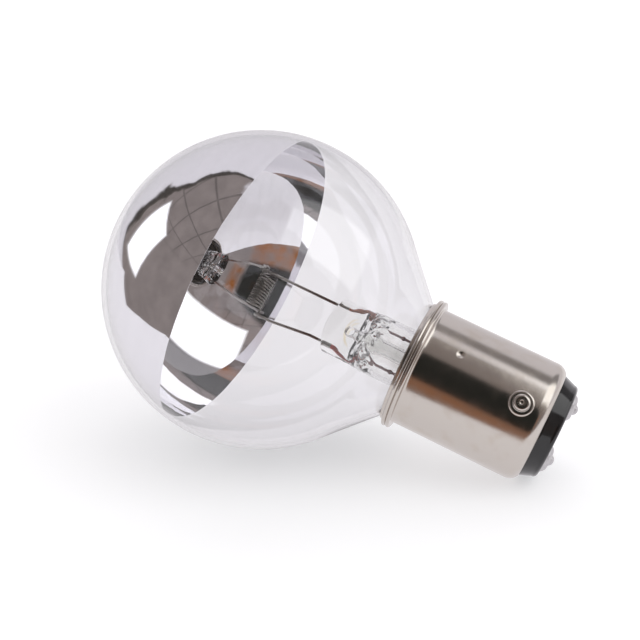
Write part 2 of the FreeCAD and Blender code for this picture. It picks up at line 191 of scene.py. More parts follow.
def sweep_points(path: np.ndarray, radius: np.ndarray, aside: np.ndarray, count: int) -> np.ndarray:
    """Carries a circle along a path.

    Each ring lies in the plane of two unit vectors: the cross product of the path's direction
    with a given side vector, and the cross product of the direction with that one. A ring
    point is the path point plus radius times the cosine of one and the sine of the other.

    Args:
        path: rows of x, y and z.
        radius: one radius per path point.
        aside: one side vector for all points or one per point, nowhere along the path.
        count: number of points round a ring.

    Returns:
        A grid of points with a closing point at each end.
    """
    direction = np.gradient(path, axis=0)
    direction /= np.linalg.norm(direction, axis=1, keepdims=True)
    first = np.cross(direction, np.broadcast_to(aside, path.shape))
    first /= np.linalg.norm(first, axis=1, keepdims=True)
    second = np.cross(direction, first)
    angles = round_angles(count)
    rings = (path[:, None, :]
             + radius[:, None, None] * np.cos(angles)[None, :, None] * first[:, None, :]
             + radius[:, None, None] * np.sin(angles)[None, :, None] * second[:, None, :])
    head = np.repeat(path[None, :1, :], count, axis=1)
    tail = np.repeat(path[None, -1:, :], count, axis=1)
    return np.concatenate([head, rings, tail], axis=0)


def bent_path(corners: list[tuple[float, float, float]], bend: float, step: float) -> np.ndarray:
    """Straight runs through corners with a tangent round at each inner corner.

    A round leaves its corner at bend over the tangent of half the corner's angle, and its
    points are its middle plus the start spoke times cosine plus the end direction times sine.

    Args:
        corners: the corner points.
        bend: radius of the rounds.
        step: distance between points.

    Returns:
        Rows of x, y and z.
    """
    knots = np.array(corners, float)
    parts = []
    here = knots[0]
    for before, corner, after in zip(knots, knots[1:], knots[2:]):
        back = (before - corner) / np.linalg.norm(before - corner)
        onward = (after - corner) / np.linalg.norm(after - corner)
        opening = math.acos(float(np.clip(back @ onward, -1, 1)))
        reach = bend / math.tan(opening / 2)
        start = corner + back * reach
        inward = (back + onward) / np.linalg.norm(back + onward)
        middle = corner + inward * bend / math.sin(opening / 2)
        spoke = start - middle
        sweep = math.pi - opening
        parts.append(straight_points(here, start, step))
        count = max(4, int(bend * sweep / step) + 1)
        angles = np.linspace(0.0, sweep, count)[1:, None]
        parts.append(middle + spoke * np.cos(angles) - back * bend * np.sin(angles))
        here = parts[-1][-1]
    parts.append(straight_points(here, knots[-1], step))
    path = np.concatenate(parts)
    apart = np.linalg.norm(np.diff(path, axis=0), axis=1) > 1e-6
    return path[np.concatenate([[True], apart])]


def straight_points(start: np.ndarray, end: np.ndarray, step: float) -> np.ndarray:
    """Evenly spaced points between two points in space, both included."""
    count = max(2, int(np.linalg.norm(end - start) / step) + 1)
    share = np.linspace(0.0, 1.0, count)[:, None]
    return start * (1 - share) + end * share


def ripple(points: np.ndarray, waves: np.ndarray) -> np.ndarray:
    """A smooth uneven field: the mean of sines, each of a wave vector times the point plus a phase.

    Args:
        points: an array whose last axis holds x, y and z.
        waves: rows of a wave vector and a phase.

    Returns:
        One value from -1 to 1 per point.
    """
    phase = np.tensordot(points, waves[:, :3].T, axes=1) + waves[:, 3]
    return np.sin(phase).mean(axis=-1)


def seeded_waves(seed: int, count: int, shortest: float, longest: float) -> np.ndarray:
    """Wave vectors in all directions, with lengths between two limits in millimetres.

    Args:
        seed: number that fixes the draw.
        count: number of waves.
        shortest: shortest wave.
        longest: longest wave.

    Returns:
        Rows of a wave vector and a phase for ripple.
    """
    draw = np.random.default_rng(seed)
    directions = draw.normal(size=(count, 3))
    directions /= np.linalg.norm(directions, axis=1, keepdims=True)
    lengths = draw.uniform(shortest, longest, size=(count, 1))
    phases = draw.uniform(0, 2 * math.pi, size=(count, 1))
    return np.concatenate([directions * 2 * math.pi / lengths, phases], axis=1)


@dataclass(frozen=True)
class Piece:
    """A visible piece: the CAD nodes that it stands for, its slot and its shading."""

    name: str
    nodes: tuple[str, ...]
    slot: str
    turn: Turn = Turn.ROLLED
    sharp_angle: float = 35.0

    def object_from(self, points: np.ndarray, faces: np.ndarray,
                    material: bpy.types.Material) -> bpy.types.Object:
        """Makes the finished object from lamp points, with doubles merged and faces outwards.

        Args:
            points: vertices in the lamp's frame, in millimetres.
            faces: vertex numbers, four per face.
            material: its finish.

        Returns:
            The object, which rides on the body and replaces its nodes.
        """
        vertices = PLACEMENT.place(points.reshape(-1, 3), self.turn)
        mesh = bpy.data.meshes.new(self.name)
        mesh.from_pydata(vertices.tolist(), [], faces.tolist())
        work = bmesh.new()
        work.from_mesh(mesh)
        bmesh.ops.remove_doubles(work, verts=work.verts, dist=MERGE)
        loose = [edge for edge in work.edges if not edge.link_faces]
        bmesh.ops.delete(work, geom=loose, context="EDGES")
        bmesh.ops.recalc_face_normals(work, faces=work.faces)
        work.to_mesh(mesh)
        work.free()
        mesh.materials.append(material)
        smooth_with_edges(mesh, self.sharp_angle)
        piece = bpy.data.objects.new(self.name, mesh)
        bpy.context.scene.collection.objects.link(piece)
        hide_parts(*self.nodes)
        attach(piece, "root")
        LOG.info("%s: %d faces, stands for %s", self.name, len(mesh.polygons), ", ".join(self.nodes))
        return piece

    def from_grid(self, grid: np.ndarray, material: bpy.types.Material,
                  rows_close: bool = False) -> bpy.types.Object:
        """Makes the object from one grid of points.

        Args:
            grid: rows by columns by x, y and z.
            material: its finish.
            rows_close: whether the last row joins the first one.

        Returns:
            The finished object.
        """
        faces = grid_faces(grid.shape[0], grid.shape[1], rows_close)
        return self.object_from(grid, faces, material)


def smooth_with_edges(mesh: bpy.types.Mesh, angle: float) -> None:
    """Shades a mesh smooth, with sharp edges where faces meet at more than an angle in degrees."""
    mesh.polygons.foreach_set("use_smooth", np.ones(len(mesh.polygons), bool))
    mesh.set_sharp_from_angle(angle=math.radians(angle))
    mesh.update()


# Shader maths


class Value:
    """A number socket, or a plain number, on which Python's operators add Math nodes."""

    def __init__(self, graph: "Graph", source: "bpy.types.NodeSocket | float") -> None:
        """Keeps the graph and the socket or number."""
        self.graph = graph
        self.source = source

    def _do(self, operation: str, *others: "Value | float") -> "Value":
        """Adds one Math node on this value and others."""
        return self.graph.math(operation, self, *others)

    def __add__(self, other: "Value | float") -> "Value":
        """Sum."""
        return self._do("ADD", other)

    def __radd__(self, other: float) -> "Value":
        """Sum with a plain number first."""
        return self._do("ADD", other)

    def __sub__(self, other: "Value | float") -> "Value":
        """Difference."""
        return self._do("SUBTRACT", other)

    def __rsub__(self, other: float) -> "Value":
        """Difference from a plain number."""
        return self.graph.math("SUBTRACT", other, self)

    def __mul__(self, other: "Value | float") -> "Value":
        """Product."""
        return self._do("MULTIPLY", other)

    def __rmul__(self, other: float) -> "Value":
        """Product with a plain number first."""
        return self._do("MULTIPLY", other)

    def __truediv__(self, other: "Value | float") -> "Value":
        """Quotient."""
        return self._do("DIVIDE", other)

    def __rtruediv__(self, other: float) -> "Value":
        """Quotient of a plain number."""
        return self.graph.math("DIVIDE", other, self)

    def __neg__(self) -> "Value":
        """The value with its sign turned."""
        return self._do("MULTIPLY", -1.0)

    def least(self, other: "Value | float") -> "Value":
        """The smaller of two values."""
        return self._do("MINIMUM", other)

    def most(self, other: "Value | float") -> "Value":
        """The larger of two values."""
        return self._do("MAXIMUM", other)

    def above(self, edge: "Value | float", soft: float) -> "Value":
        """Rises from 0 to 1 in a straight ramp of width soft, centred on edge."""
        ramp = (self - edge) / soft + 0.5
        return ramp.most(0.0).least(1.0)

    def below(self, edge: "Value | float", soft: float) -> "Value":
        """Falls from 1 to 0 in a straight ramp of width soft, centred on edge."""
        return 1.0 - self.above(edge, soft)

    def within(self, low: "Value | float", high: "Value | float", soft: float) -> "Value":
        """1 between two edges and 0 outside them, with soft ramps."""
        return self.above(low, soft) * self.below(high, soft)


Colour = tuple[float, float, float]


def linear(red: float, green: float, blue: float) -> Colour:
    """A linear colour from screen values of 0 to 255.

    Args:
        red: screen red.
        green: screen green.
        blue: screen blue.

    Returns:
        Three linear values: the screen value to the power 2.4 past the short straight foot.
    """
    def one(level: float) -> float:
        """One channel."""
        share = level / 255.0
        return share / 12.92 if share <= 0.04045 else ((share + 0.055) / 1.055) ** 2.4
    return one(red), one(green), one(blue)


class Graph:
    """A node tree with short calls for its nodes."""

    def __init__(self, tree: bpy.types.NodeTree) -> None:
        """Empties the tree and keeps it."""
        self.tree = tree
        tree.nodes.clear()

    def node(self, kind: str, settings: dict | None = None, inputs: dict | None = None) -> bpy.types.Node:
        """Adds a node.

        Args:
            kind: the node's type.
            settings: its properties, set before its sockets.
            inputs: sockets by name or number, with a value, colour, socket or Value each.

        Returns:
            The node.
        """
        made = self.tree.nodes.new(kind)
        for name, value in (settings or {}).items():
            setattr(made, name, value)
        for name, value in (inputs or {}).items():
            self.feed(made.inputs[name], value)
        return made

    def feed(self, socket: bpy.types.NodeSocket, value: object) -> None:
        """Links or sets one input socket."""
        if isinstance(value, Value):
            value = value.source
        if isinstance(value, bpy.types.NodeSocket):
            self.tree.links.new(value, socket)
        elif isinstance(value, tuple) and socket.type == "RGBA":
            socket.default_value = (*value, 1.0)[:4]
        else:
            socket.default_value = value

    def math(self, operation: str, *values: "Value | float") -> Value:
        """Adds one Math node and returns its result."""
        made = self.node("ShaderNodeMath", {"operation": operation}, dict(enumerate(values)))
        return Value(self, made.outputs[0])

    def vector(self, operation: str, *values: object) -> bpy.types.NodeSocket:
        """Adds one Vector Math node and returns its vector."""
        made = self.node("ShaderNodeVectorMath", {"operation": operation}, dict(enumerate(values)))
        return made.outputs["Vector"]

    def dot(self, one: object, other: object) -> Value:
        """The dot product of two vectors."""
        made = self.node("ShaderNodeVectorMath", {"operation": "DOT_PRODUCT"}, {0: one, 1: other})
        return Value(self, made.outputs["Value"])

    def mix(self, share: "Value | float", first: object, second: object) -> bpy.types.NodeSocket:
        """Mixes two colours: first where share is 0 and second where it is 1."""
        made = self.node("ShaderNodeMix", {"data_type": "RGBA"}, {"Factor": share, 6: first, 7: second})
        return made.outputs[2]

    def scaled(self, colour: object, factor: "Value | float") -> bpy.types.NodeSocket:
        """A colour times a number."""
        made = self.node("ShaderNodeVectorMath", {"operation": "SCALE"}, {0: colour, "Scale": factor})
        return made.outputs["Vector"]

    def noise(self, place: object, scale: float, detail: float = 2.0, rough: float = 0.5) -> Value:
        """Soft noise from 0 to 1 at a place."""
        made = self.node("ShaderNodeTexNoise", {}, {
            "Vector": place, "Scale": scale, "Detail": detail, "Roughness": rough})
        return Value(self, made.outputs["Fac"])

    def axes(self, place: object) -> tuple[Value, Value, Value]:
        """The three parts of a vector."""
        made = self.node("ShaderNodeSeparateXYZ", {}, {0: place})
        return tuple(Value(self, made.outputs[i]) for i in range(3))

    def joined(self, x: object, y: object, z: object) -> bpy.types.NodeSocket:
        """A vector from three values."""
        return self.node("ShaderNodeCombineXYZ", {}, {0: x, 1: y, 2: z}).outputs[0]

    def lamp_place(self, turn: Turn = Turn.ROLLED) -> bpy.types.NodeSocket:
        """Object coordinates brought back to the lamp's own frame, in millimetres.

        Args:
            turn: whether the piece was rolled with the cap.

        Returns:
            The vector socket.
        """
        coordinates = self.node("ShaderNodeTexCoord")
        roll = PLACEMENT.roll if turn is Turn.ROLLED else 0.0
        mapping = self.node("ShaderNodeMapping", {"vector_type": "TEXTURE"}, {
            "Vector": coordinates.outputs["Object"],
            "Location": tuple(v * MM for v in PLACEMENT.globe_middle),
            "Rotation": (roll, PLACEMENT.tilt, 0.0),
            "Scale": (MM, MM, MM)})
        return mapping.outputs[0]

    def bump(self, height: Value, distance: float, strength: float = 1.0) -> bpy.types.NodeSocket:
        """A bent normal from a height from 0 to 1 times a distance in millimetres."""
        made = self.node("ShaderNodeBump", {}, {
            "Height": height, "Distance": distance * MM, "Strength": strength})
        return made.outputs[0]


class Finish:
    """A finish that makes its material once and keeps it."""

    name = "finish"

    def material(self) -> bpy.types.Material:
        """The material of this finish, made at the first call."""
        found = bpy.data.materials.get(self.name)
        if found is not None:
            return found
        made = bpy.data.materials.new(self.name)
        made.use_nodes = True
        graph = Graph(made.node_tree)
        shader = graph.node("ShaderNodeBsdfPrincipled")
        for socket, value in self.sockets(graph).items():
            graph.feed(shader.inputs[socket], value)
        output = graph.node("ShaderNodeOutputMaterial")
        graph.feed(output.inputs["Surface"], shader.outputs[0])
        return made

    def sockets(self, graph: Graph) -> dict[str, object]:
        """What feeds each socket of the main shader."""
        raise NotImplementedError


@dataclass(frozen=True)
class GlobeGlass(Finish):
    """Clear blown glass with very slight waves and a breath of dust."""

    name: str = "blown_glass"
    tint: Colour = (0.985, 0.987, 0.992)
    dusty: Colour = (0.96, 0.965, 0.975)
    index: float = 1.5
    wave_height: float = 0.004
    wave_scale: float = 0.16

    def sockets(self, graph: Graph) -> dict[str, object]:
        """Tint that varies a little, long waves in the surface, full transmission."""
        place = graph.lamp_place(Turn.LEVEL)
        waves = graph.noise(place, self.wave_scale, 1.0)
        film = graph.noise(place, 0.7, 3.0).above(0.75, 0.2)
        tint = graph.mix(film * 0.5, self.tint, self.dusty)
        return {
            "Base Color": tint,
            "Roughness": 0.0,
            "IOR": self.index,
            "Transmission Weight": 1.0,
            "Normal": graph.bump(waves, self.wave_height)}


@dataclass(frozen=True)
class StemGlass(Finish):
    """Thicker lead glass, pinched while hot, with ripples in the press."""

    name: str = "pinched_glass"
    tint: Colour = (0.985, 0.985, 0.975)
    index: float = 1.54
    ripple_height: float = 0.05
    ripple_scale: float = 1.1
    ripple_start: float = 11.6
    ripple_end: float = 16.6
    pulled_tint: Colour = (0.955, 0.96, 0.945)
    yellow: Colour = (0.88, 0.76, 0.48)
    arc_x: float = 14.3
    arc_radius: float = 2.35
    arc_half_width: float = 0.12
    arc_reach: float = 2.6

    def sockets(self, graph: Graph) -> dict[str, object]:
        """Ripples where the tongs and the cone pulled the glass, and a yellowed arc across the press."""
        place = graph.lamp_place()
        x, _, z = graph.axes(place)
        apart = x - self.arc_x
        reach = graph.math("SQRT", apart * apart + z * z)
        inner, outer = self.arc_radius - self.arc_half_width, self.arc_radius + self.arc_half_width
        arc = reach.within(inner, outer, 0.14) * (z * z).below(self.arc_reach, 1.4) * apart.below(0.0, 0.2)
        pulled = x.within(self.ripple_start, self.ripple_end, 1.0)
        height = graph.noise(place, self.ripple_scale, 2.0) * pulled
        tint = graph.mix(pulled * 0.6, self.tint, self.pulled_tint)
        tint = graph.mix(arc * 0.7, tint, self.yellow)
        return {
            "Base Color": tint,
            "Roughness": 0.0,
            "IOR": self.index,
            "Transmission Weight": 1.0,
            "Normal": graph.bump(height, self.ripple_height)}


@dataclass(frozen=True)
class MirrorFilm(Finish):
    """Silver laid on the inside of the crown, with faint streaks and pin specks."""

    name: str = "silvering"
    silver: Colour = (0.90, 0.89, 0.92)
    streak: Colour = (0.80, 0.79, 0.82)
    speck: Colour = (0.97, 0.97, 0.98)
    least_rough: float = 0.018

    def sockets(self, graph: Graph) -> dict[str, object]:
        """Long streaks round the axis, fine specks, and a surface almost smooth."""
        place = graph.lamp_place(Turn.LEVEL)
        stretched = graph.vector("MULTIPLY", place, (1.4, 0.18, 0.18))
        streaks = graph.noise(stretched, 1.0, 3.0).above(0.62, 0.3)
        specks = graph.noise(place, 2.6, 2.0).above(0.74, 0.06)
        colour = graph.mix(streaks * 0.35, self.silver, self.streak)
        colour = graph.mix(specks * 0.5, colour, self.speck)
        roughness = self.least_rough + specks * 0.12 + streaks * 0.01
        return {
            "Base Color": colour,
            "Metallic": 1.0,
            "Roughness": roughness,
            "Normal": graph.bump(graph.noise(place, 0.5, 2.0), 0.004)}


@dataclass(frozen=True)
class Tungsten(Finish):
    """Drawn tungsten wire, dark grey with fine lines."""

    name: str = "tungsten_coil"
    dark: Colour = (0.16, 0.15, 0.14)
    light: Colour = (0.55, 0.52, 0.49)

    def sockets(self, graph: Graph) -> dict[str, object]:
        """Grey that varies along the wire and a satin gloss."""
        place = graph.lamp_place()
        grain = graph.noise(place, 6.0, 3.0)
        return {
            "Base Color": graph.mix(grain, self.dark, self.light),
            "Metallic": 1.0,
            "Roughness": 0.26 + grain * 0.2,
            "Normal": graph.bump(grain, 0.01)}


@dataclass(frozen=True)
class NickelWire(Finish):
    """Nickel wire, bright by the coil and browned by heat towards the press."""

    name: str = "nickel_lead"
    bright: Colour = (0.62, 0.60, 0.57)
    brown: Colour = (0.20, 0.13, 0.11)
    sheathed: Colour = (0.60, 0.58, 0.56)
    outer: Colour = (0.22, 0.075, 0.065)
    soot: Colour = (0.05, 0.035, 0.03)
    brown_start: float = 3.2
    brown_end: float = 7.6
    press_start: float = 9.25
    outer_start: float = 14.5

    def sockets(self, graph: Graph) -> dict[str, object]:
        """Colours that follow the wire along the axis."""
        place = graph.lamp_place()
        x, _, _ = graph.axes(place)
        grain = graph.noise(graph.vector("MULTIPLY", place, (0.6, 4.0, 4.0)), 2.0, 3.0)
        browned = ((x + grain * 2.0 - 1.0 - self.brown_start) / (self.brown_end - self.brown_start))
        colour = graph.mix(browned.most(0.0).least(1.0), self.bright, self.brown)
        colour = graph.mix(x.above(self.press_start, 0.3), colour, self.sheathed)
        colour = graph.mix(x.above(self.outer_start, 0.4), colour, self.outer)
        return {
            "Base Color": graph.mix(grain * 0.4, colour, self.soot),
            "Metallic": 1.0,
            "Roughness": 0.24 + grain * 0.16,
            "Normal": graph.bump(grain, 0.008)}


@dataclass(frozen=True)
class CopperWire(Finish):
    """Copper clad wire with the red borate skin that glass grips."""

    name: str = "copper_clad"
    red: Colour = (0.92, 0.07, 0.09)
    orange: Colour = (0.98, 0.50, 0.30)

    def sockets(self, graph: Graph) -> dict[str, object]:
        """Red that turns orange in patches, more so on the upper wire."""
        place = graph.lamp_place()
        _, _, z = graph.axes(place)
        patches = graph.noise(place, 1.3, 2.0)
        return {
            "Base Color": graph.mix(patches * 0.5 + z.above(0.0, 0.5) * 0.4, self.red, self.orange),
            "Metallic": 0.0,
            "Roughness": 0.35 + patches * 0.15,
            "Normal": graph.bump(patches, 0.01)}


@dataclass(frozen=True)
class PlatedBrass(Finish):
    """Brass under satin nickel: warm grey, with drawing lines and a fine pebble."""

    name: str = "satin_nickel"
    nickel: Colour = (0.66, 0.615, 0.57)
    worn: Colour = (0.60, 0.53, 0.45)
    pebble: float = 0.0045
    line: float = 0.0016
    least_rough: float = 0.15

    def sockets(self, graph: Graph) -> dict[str, object]:
        """Faint lines round the axis from the drawing die over a pebbled surface."""
        place = graph.lamp_place()
        x, _, _ = graph.axes(place)
        pebbles = graph.noise(place, 2.2, 3.0, 0.6)
        lines = graph.noise(graph.vector("MULTIPLY", place, (9.0, 0.35, 0.35)), 1.0, 2.0)
        stains = graph.noise(place, 0.45, 3.0).above(0.62, 0.25)
        smears = graph.noise(place, 0.9, 2.0)
        deepest = self.pebble + self.line
        height = pebbles * self.pebble / deepest + lines * self.line / deepest
        return {
            "Base Color": graph.mix(stains * 0.45, self.nickel, self.worn),
            "Metallic": 1.0,
            "Roughness": self.least_rough + smears * 0.06 + stains * 0.05,
            "Normal": graph.bump(height, deepest)}


@dataclass(frozen=True)
class BlackGlass(Finish):
    """Black glass cast into the end of the cap, glossy with soft pits."""

    name: str = "cast_black_glass"
    black: Colour = (0.006, 0.006, 0.0065)
    grey: Colour = (0.016, 0.016, 0.017)
    least_rough: float = 0.07

    def sockets(self, graph: Graph) -> dict[str, object]:
        """Near black with faint marbling and a surface that flowed."""
        place = graph.lamp_place()
        marble = graph.noise(place, 0.9, 4.0)
        flow = graph.noise(place, 0.55, 1.0)
        return {
            "Base Color": graph.mix(marble, self.black, self.grey),
            "Roughness": self.least_rough + marble * 0.09,
            "Coat Weight": 0.3,
            "Normal": graph.bump(flow, 0.05)}


@dataclass(frozen=True)
class ContactBrass(Finish):
    """Bare brass of the contact plates, a little dulled."""

    name: str = "bare_brass"
    bright: Colour = (0.62, 0.47, 0.24)
    dull: Colour = (0.40, 0.30, 0.17)

    def sockets(self, graph: Graph) -> dict[str, object]:
        """Dull patches over bright brass."""
        place = graph.lamp_place()
        patches = graph.noise(place, 1.8, 3.0)
        return {
            "Base Color": graph.mix(patches, self.bright, self.dull),
            "Metallic": 1.0,
            "Roughness": 0.28 + patches * 0.2,
            "Normal": graph.bump(patches, 0.01)}


@dataclass(frozen=True)
class Solder(Finish):
    """Soft solder that set with a frosted skin."""

    name: str = "soft_solder"
    bright: Colour = (0.74, 0.72, 0.73)
    dull: Colour = (0.46, 0.45, 0.46)

    def sockets(self, graph: Graph) -> dict[str, object]:
        """Frosting, small dimples and a satin gloss."""
        place = graph.lamp_place()
        frost = graph.noise(place, 3.2, 4.0, 0.6)
        return {
            "Base Color": graph.mix(frost, self.bright, self.dull),
            "Metallic": 1.0,
            "Roughness": 0.24 + frost * 0.24,
            "Normal": graph.bump(frost, 0.03)}


@dataclass(frozen=True)
class Cement(Finish):
    """Baked cement between the neck and the shell, matt and gritty."""

    name: str = "baked_cement"
    pale: Colour = (0.62, 0.55, 0.43)
    dark: Colour = (0.42, 0.34, 0.24)

    def sockets(self, graph: Graph) -> dict[str, object]:
        """Grit in colour and height."""
        place = graph.lamp_place()
        grit = graph.noise(place, 3.0, 5.0, 0.65)
        return {
            "Base Color": graph.mix(grit, self.pale, self.dark),
            "Roughness": 0.85,
            "Normal": graph.bump(grit, 0.08)}


# The lamp's pieces


@dataclass(frozen=True)
class Globe:
    """The blown globe with its shoulder and neck, and the mirror film inside its crown."""

    radius: float = 20.0
    wall: float = 0.55
    shoulder: float = 43.0
    fillet_x: float = 21.843
    fillet_r: float = 8.1
    fillet_radius: float = 1.5
    neck_end: float = 26.0
    film: float = 0.06
    film_gap: float = 0.012
    rim_setback: float = 1.98
    rim_slope: float = 0.071
    rim_waver: float = 0.03

    def outline(self, offset: float, count: int) -> np.ndarray:
        """The glass from the crown to the end of the neck, moved inwards by an offset.

        The globe is a circle, the shoulder is the straight line that touches both the globe
        and the fillet, and the neck is level.

        Args:
            offset: distance inwards from the outside.
            count: number of points on the globe.

        Returns:
            Rows of x and r.
        """
        neck_radius = self.fillet_r - self.fillet_radius - offset
        return np.concatenate([
            arc_points(0, 0, self.radius - offset, 180, self.shoulder, count),
            arc_points(self.fillet_x, self.fillet_r, self.fillet_radius + offset,
                       180 + self.shoulder, 270, 20),
            run_points((self.fillet_x + 0.4, neck_radius), (self.neck_end, neck_radius), 8)])

    def glass(self) -> None:
        """Turns both walls as one closed profile, whose last row joins the first at the neck's end."""
        outside = self.outline(0.0, 120)
        inside = self.outline(self.wall, 120)[::-1]
        profile = np.concatenate([outside, inside])
        grid = turned_points(profile, round_angles(176))
        Piece("globe", ("glass_envelope",), "globe_glass", Turn.LEVEL, 50.0).from_grid(
            grid, GlobeGlass().material())

    def rim_angle(self, radius: float, turn: np.ndarray) -> np.ndarray:
        """The angle from the crown at which the film stops.

        On the sphere x is minus radius times cosine and y is minus radius times sine times the
        cosine of the turn, and the rim plane says x is minus the setback plus the slope times y.
        That is one cosine and one sine of the angle with a known sum, so the angle is an arc
        tangent plus an arc cosine.

        Args:
            radius: radius of the surface.
            turn: angles about the axis.

        Returns:
            One angle per turn.
        """
        across = -self.rim_slope * radius * np.cos(turn)
        length = np.hypot(radius, across)
        waves = np.sin(7 * turn + 1.0) + np.sin(17 * turn) + np.sin(31 * turn + 2.0)
        waver = self.rim_waver / radius * waves / 3
        return np.arctan2(across, radius) + np.arccos(self.rim_setback / length) + waver

    def mirror(self) -> None:
        """Grid from the crown out to the leaning rim on the film's outside and back on its inside."""
        turn = round_angles(192)
        rows = 100
        share = np.linspace(0.0, 1.0, rows)
        outer_radius = self.radius - self.wall - self.film_gap
        sheets = []
        for radius, order in ((outer_radius, 1), (outer_radius - self.film, -1)):
            angle = share[:, None] * self.rim_angle(radius, turn)[None, :]
            x = -radius * np.cos(angle)
            y = -radius * np.sin(angle) * np.cos(turn)[None, :]
            z = radius * np.sin(angle) * np.sin(turn)[None, :]
            sheets.append(np.stack([x, y, z], axis=2)[::order])
        Piece("mirror", ("mirror_coating",), "mirror_film", Turn.LEVEL).from_grid(
            np.concatenate(sheets), MirrorFilm().material())

    def build(self) -> None:
        """Builds both pieces."""
        self.glass()
        self.mirror()


@dataclass(frozen=True)
class Stem:
    """The pinched stem: press, shoulder, tube and flare, with the exhaust tube behind it."""

    press_start: float = 9.2
    press_end: float = 13.2
    half_width: float = 3.6
    half_thickness: float = 1.4
    tip_radius: float = 7.0
    edge: float = 0.45
    pull_start: float = 0.4
    tip_count: int = 24
    side_count: int = 17
    shoulder_count: int = 21
    tube_start: float = 15.9
    tube_radius: float = 3.8
    bore_radius: float = 3.2
    flare_start: float = 21.6
    flare_end: float = 26.01
    flare_radius: float = 5.8
    rim_radius: float = 6.59
    rim_end: float = 26.7
    cone_start: float = 14.7
    cone_radius: float = 1.5
    channel_radius: float = 0.65
    hole_x: float = 12.4
    hole_radius: float = 0.55
    exhaust_radius: float = 1.0
    exhaust_wall: float = 0.35
    exhaust_end: float = 30.396
    skin_ripple: float = 0.12
    cone_ripple: float = 0.24
    pull_x: float = 14.85
    pull_reach: float = 2.3
    still_radius: float = 0.6
    ripple_gain: float = 2.2
    columns: int = 144

    def pinched(self, inset: np.ndarray) -> tuple[np.ndarray, np.ndarray]:
        """The outline of the press: a circle pulled apart along Z, moved inwards by an inset.

        y is minus the half thickness times cosine, and z is the half thickness times sine plus
        the half flat times the sine over the pull's start, held between minus and plus one.

        Args:
            inset: distance inwards, one per row.

        Returns:
            y and z, one row per inset and one column per angle.
        """
        angles = round_angles(self.columns)[None, :]
        half = self.half_thickness - inset[:, None]
        flat = self.half_width - self.half_thickness
        pull = np.clip(np.sin(angles) / self.pull_start, -1, 1)
        return -half * np.cos(angles), half * np.sin(angles) + flat * pull

    def tip_rows(self) -> np.ndarray:
        """The domed tip: scaled outlines on a ball, then a quarter round to the side."""
        middle = self.press_start + self.tip_radius
        y, z = self.pinched(np.full(self.tip_count, self.edge))
        scale = np.sqrt(np.linspace(0.0, 1.0, self.tip_count))[:, None]
        y, z = y * scale, z * scale
        dome = np.stack([middle - np.sqrt(self.tip_radius ** 2 - y ** 2 - z ** 2), y, z], axis=2)
        turn = np.linspace(0, math.pi / 2, 8)[1:]
        ey, ez = self.pinched(self.edge * (1 - np.sin(turn)))
        rise = self.edge * (1 - np.cos(turn))[:, None]
        ex = dome[-1:, :, 0] + rise
        return np.concatenate([dome, np.stack([ex, ey, ez], axis=2)])

    def body_rows(self, start: np.ndarray) -> np.ndarray:
        """Press sides from the tip's edge, then the shoulder that eases from outline to circle.

        Args:
            start: the last row of the tip.

        Returns:
            Rows from the press to the start of the tube.
        """
        y, z = self.pinched(np.zeros(1))
        share = np.linspace(0.0, 1.0, self.side_count + 1)[1:, None]
        x = start[None, :, 0] * (1 - share) + self.press_end * share
        sides = np.stack([x, np.broadcast_to(y, x.shape), np.broadcast_to(z, x.shape)], axis=2)
        step = np.linspace(0.0, 1.0, self.shoulder_count + 1)[1:, None]
        ease = step * step * (3 - 2 * step)
        angles = round_angles(self.columns)[None, :]
        round_y, round_z = -self.tube_radius * np.cos(angles), self.tube_radius * np.sin(angles)
        shoulder_x = self.press_end + (self.tube_start - self.press_end) * step
        shoulder = np.stack([
            np.repeat(shoulder_x, self.columns, axis=1),
            y * (1 - ease) + round_y * ease,
            z * (1 - ease) + round_z * ease], axis=2)
        return np.concatenate([sides, shoulder])

    def pulled(self, grid: np.ndarray, depth: float, seed: int,
               shortest: float, longest: float) -> np.ndarray:
        """Moves points off and towards the axis by a ripple, most where the tongs pulled the glass.

        The share is the ripple times a hump over x, which is one minus the square of the
        distance from the middle of the pulled part over its half length, where that is above
        zero, and y and z grow by the depth times the share over the distance from the axis.
        The gain brings the ripple, a mean of many sines, up to about one at its peaks.

        Args:
            grid: rows of points round the axis.
            depth: largest move in millimetres.
            seed: number that fixes the waves.
            shortest: shortest wave.
            longest: longest wave.

        Returns:
            The moved grid.
        """
        hump = np.clip(1 - ((grid[:, :, 0] - self.pull_x) / self.pull_reach) ** 2, 0, None)
        radius = np.maximum(np.hypot(grid[:, :, 1], grid[:, :, 2]), self.still_radius)
        waves = seeded_waves(seed, 16, shortest, longest)
        share = depth * self.ripple_gain * ripple(grid, waves) * hump / radius
        moved = grid.copy()
        moved[:, :, 1] *= 1 + share
        moved[:, :, 2] *= 1 + share
        return moved

    def flare(self, small: float, large: float, count: int) -> np.ndarray:
        """A curve that leaves the tube level and widens: radius grows with the square of the run."""
        share = np.linspace(0.0, 1.0, count)
        x = self.flare_start + (self.flare_end - self.flare_start) * share
        return np.stack([x, small + (large - small) * share ** 2], axis=1)

    def inner_profile(self) -> np.ndarray:
        """From the flare's rim back through the bore, the cone and the channel to its blind end."""
        return np.concatenate([
            np.array([[self.flare_end, self.rim_radius], [self.rim_end, self.rim_radius]]),
            np.array([[self.rim_end, self.flare_radius]]),
            self.flare(self.bore_radius, self.flare_radius - 0.35, 14)[::-1],
            run_points((self.flare_start - 0.5, self.bore_radius), (self.tube_start, self.bore_radius), 26),
            arc_points(self.tube_start, self.cone_radius, self.bore_radius - self.cone_radius,
                       90, 140, 16)[1:],
            run_points((self.cone_start, self.cone_radius), (self.cone_start, self.channel_radius), 4),
            run_points((self.cone_start - 0.1, self.channel_radius), (self.hole_x, self.channel_radius), 8),
            arc_points(self.hole_x, 0.0, self.channel_radius, 90, 180, 7)[1:]])

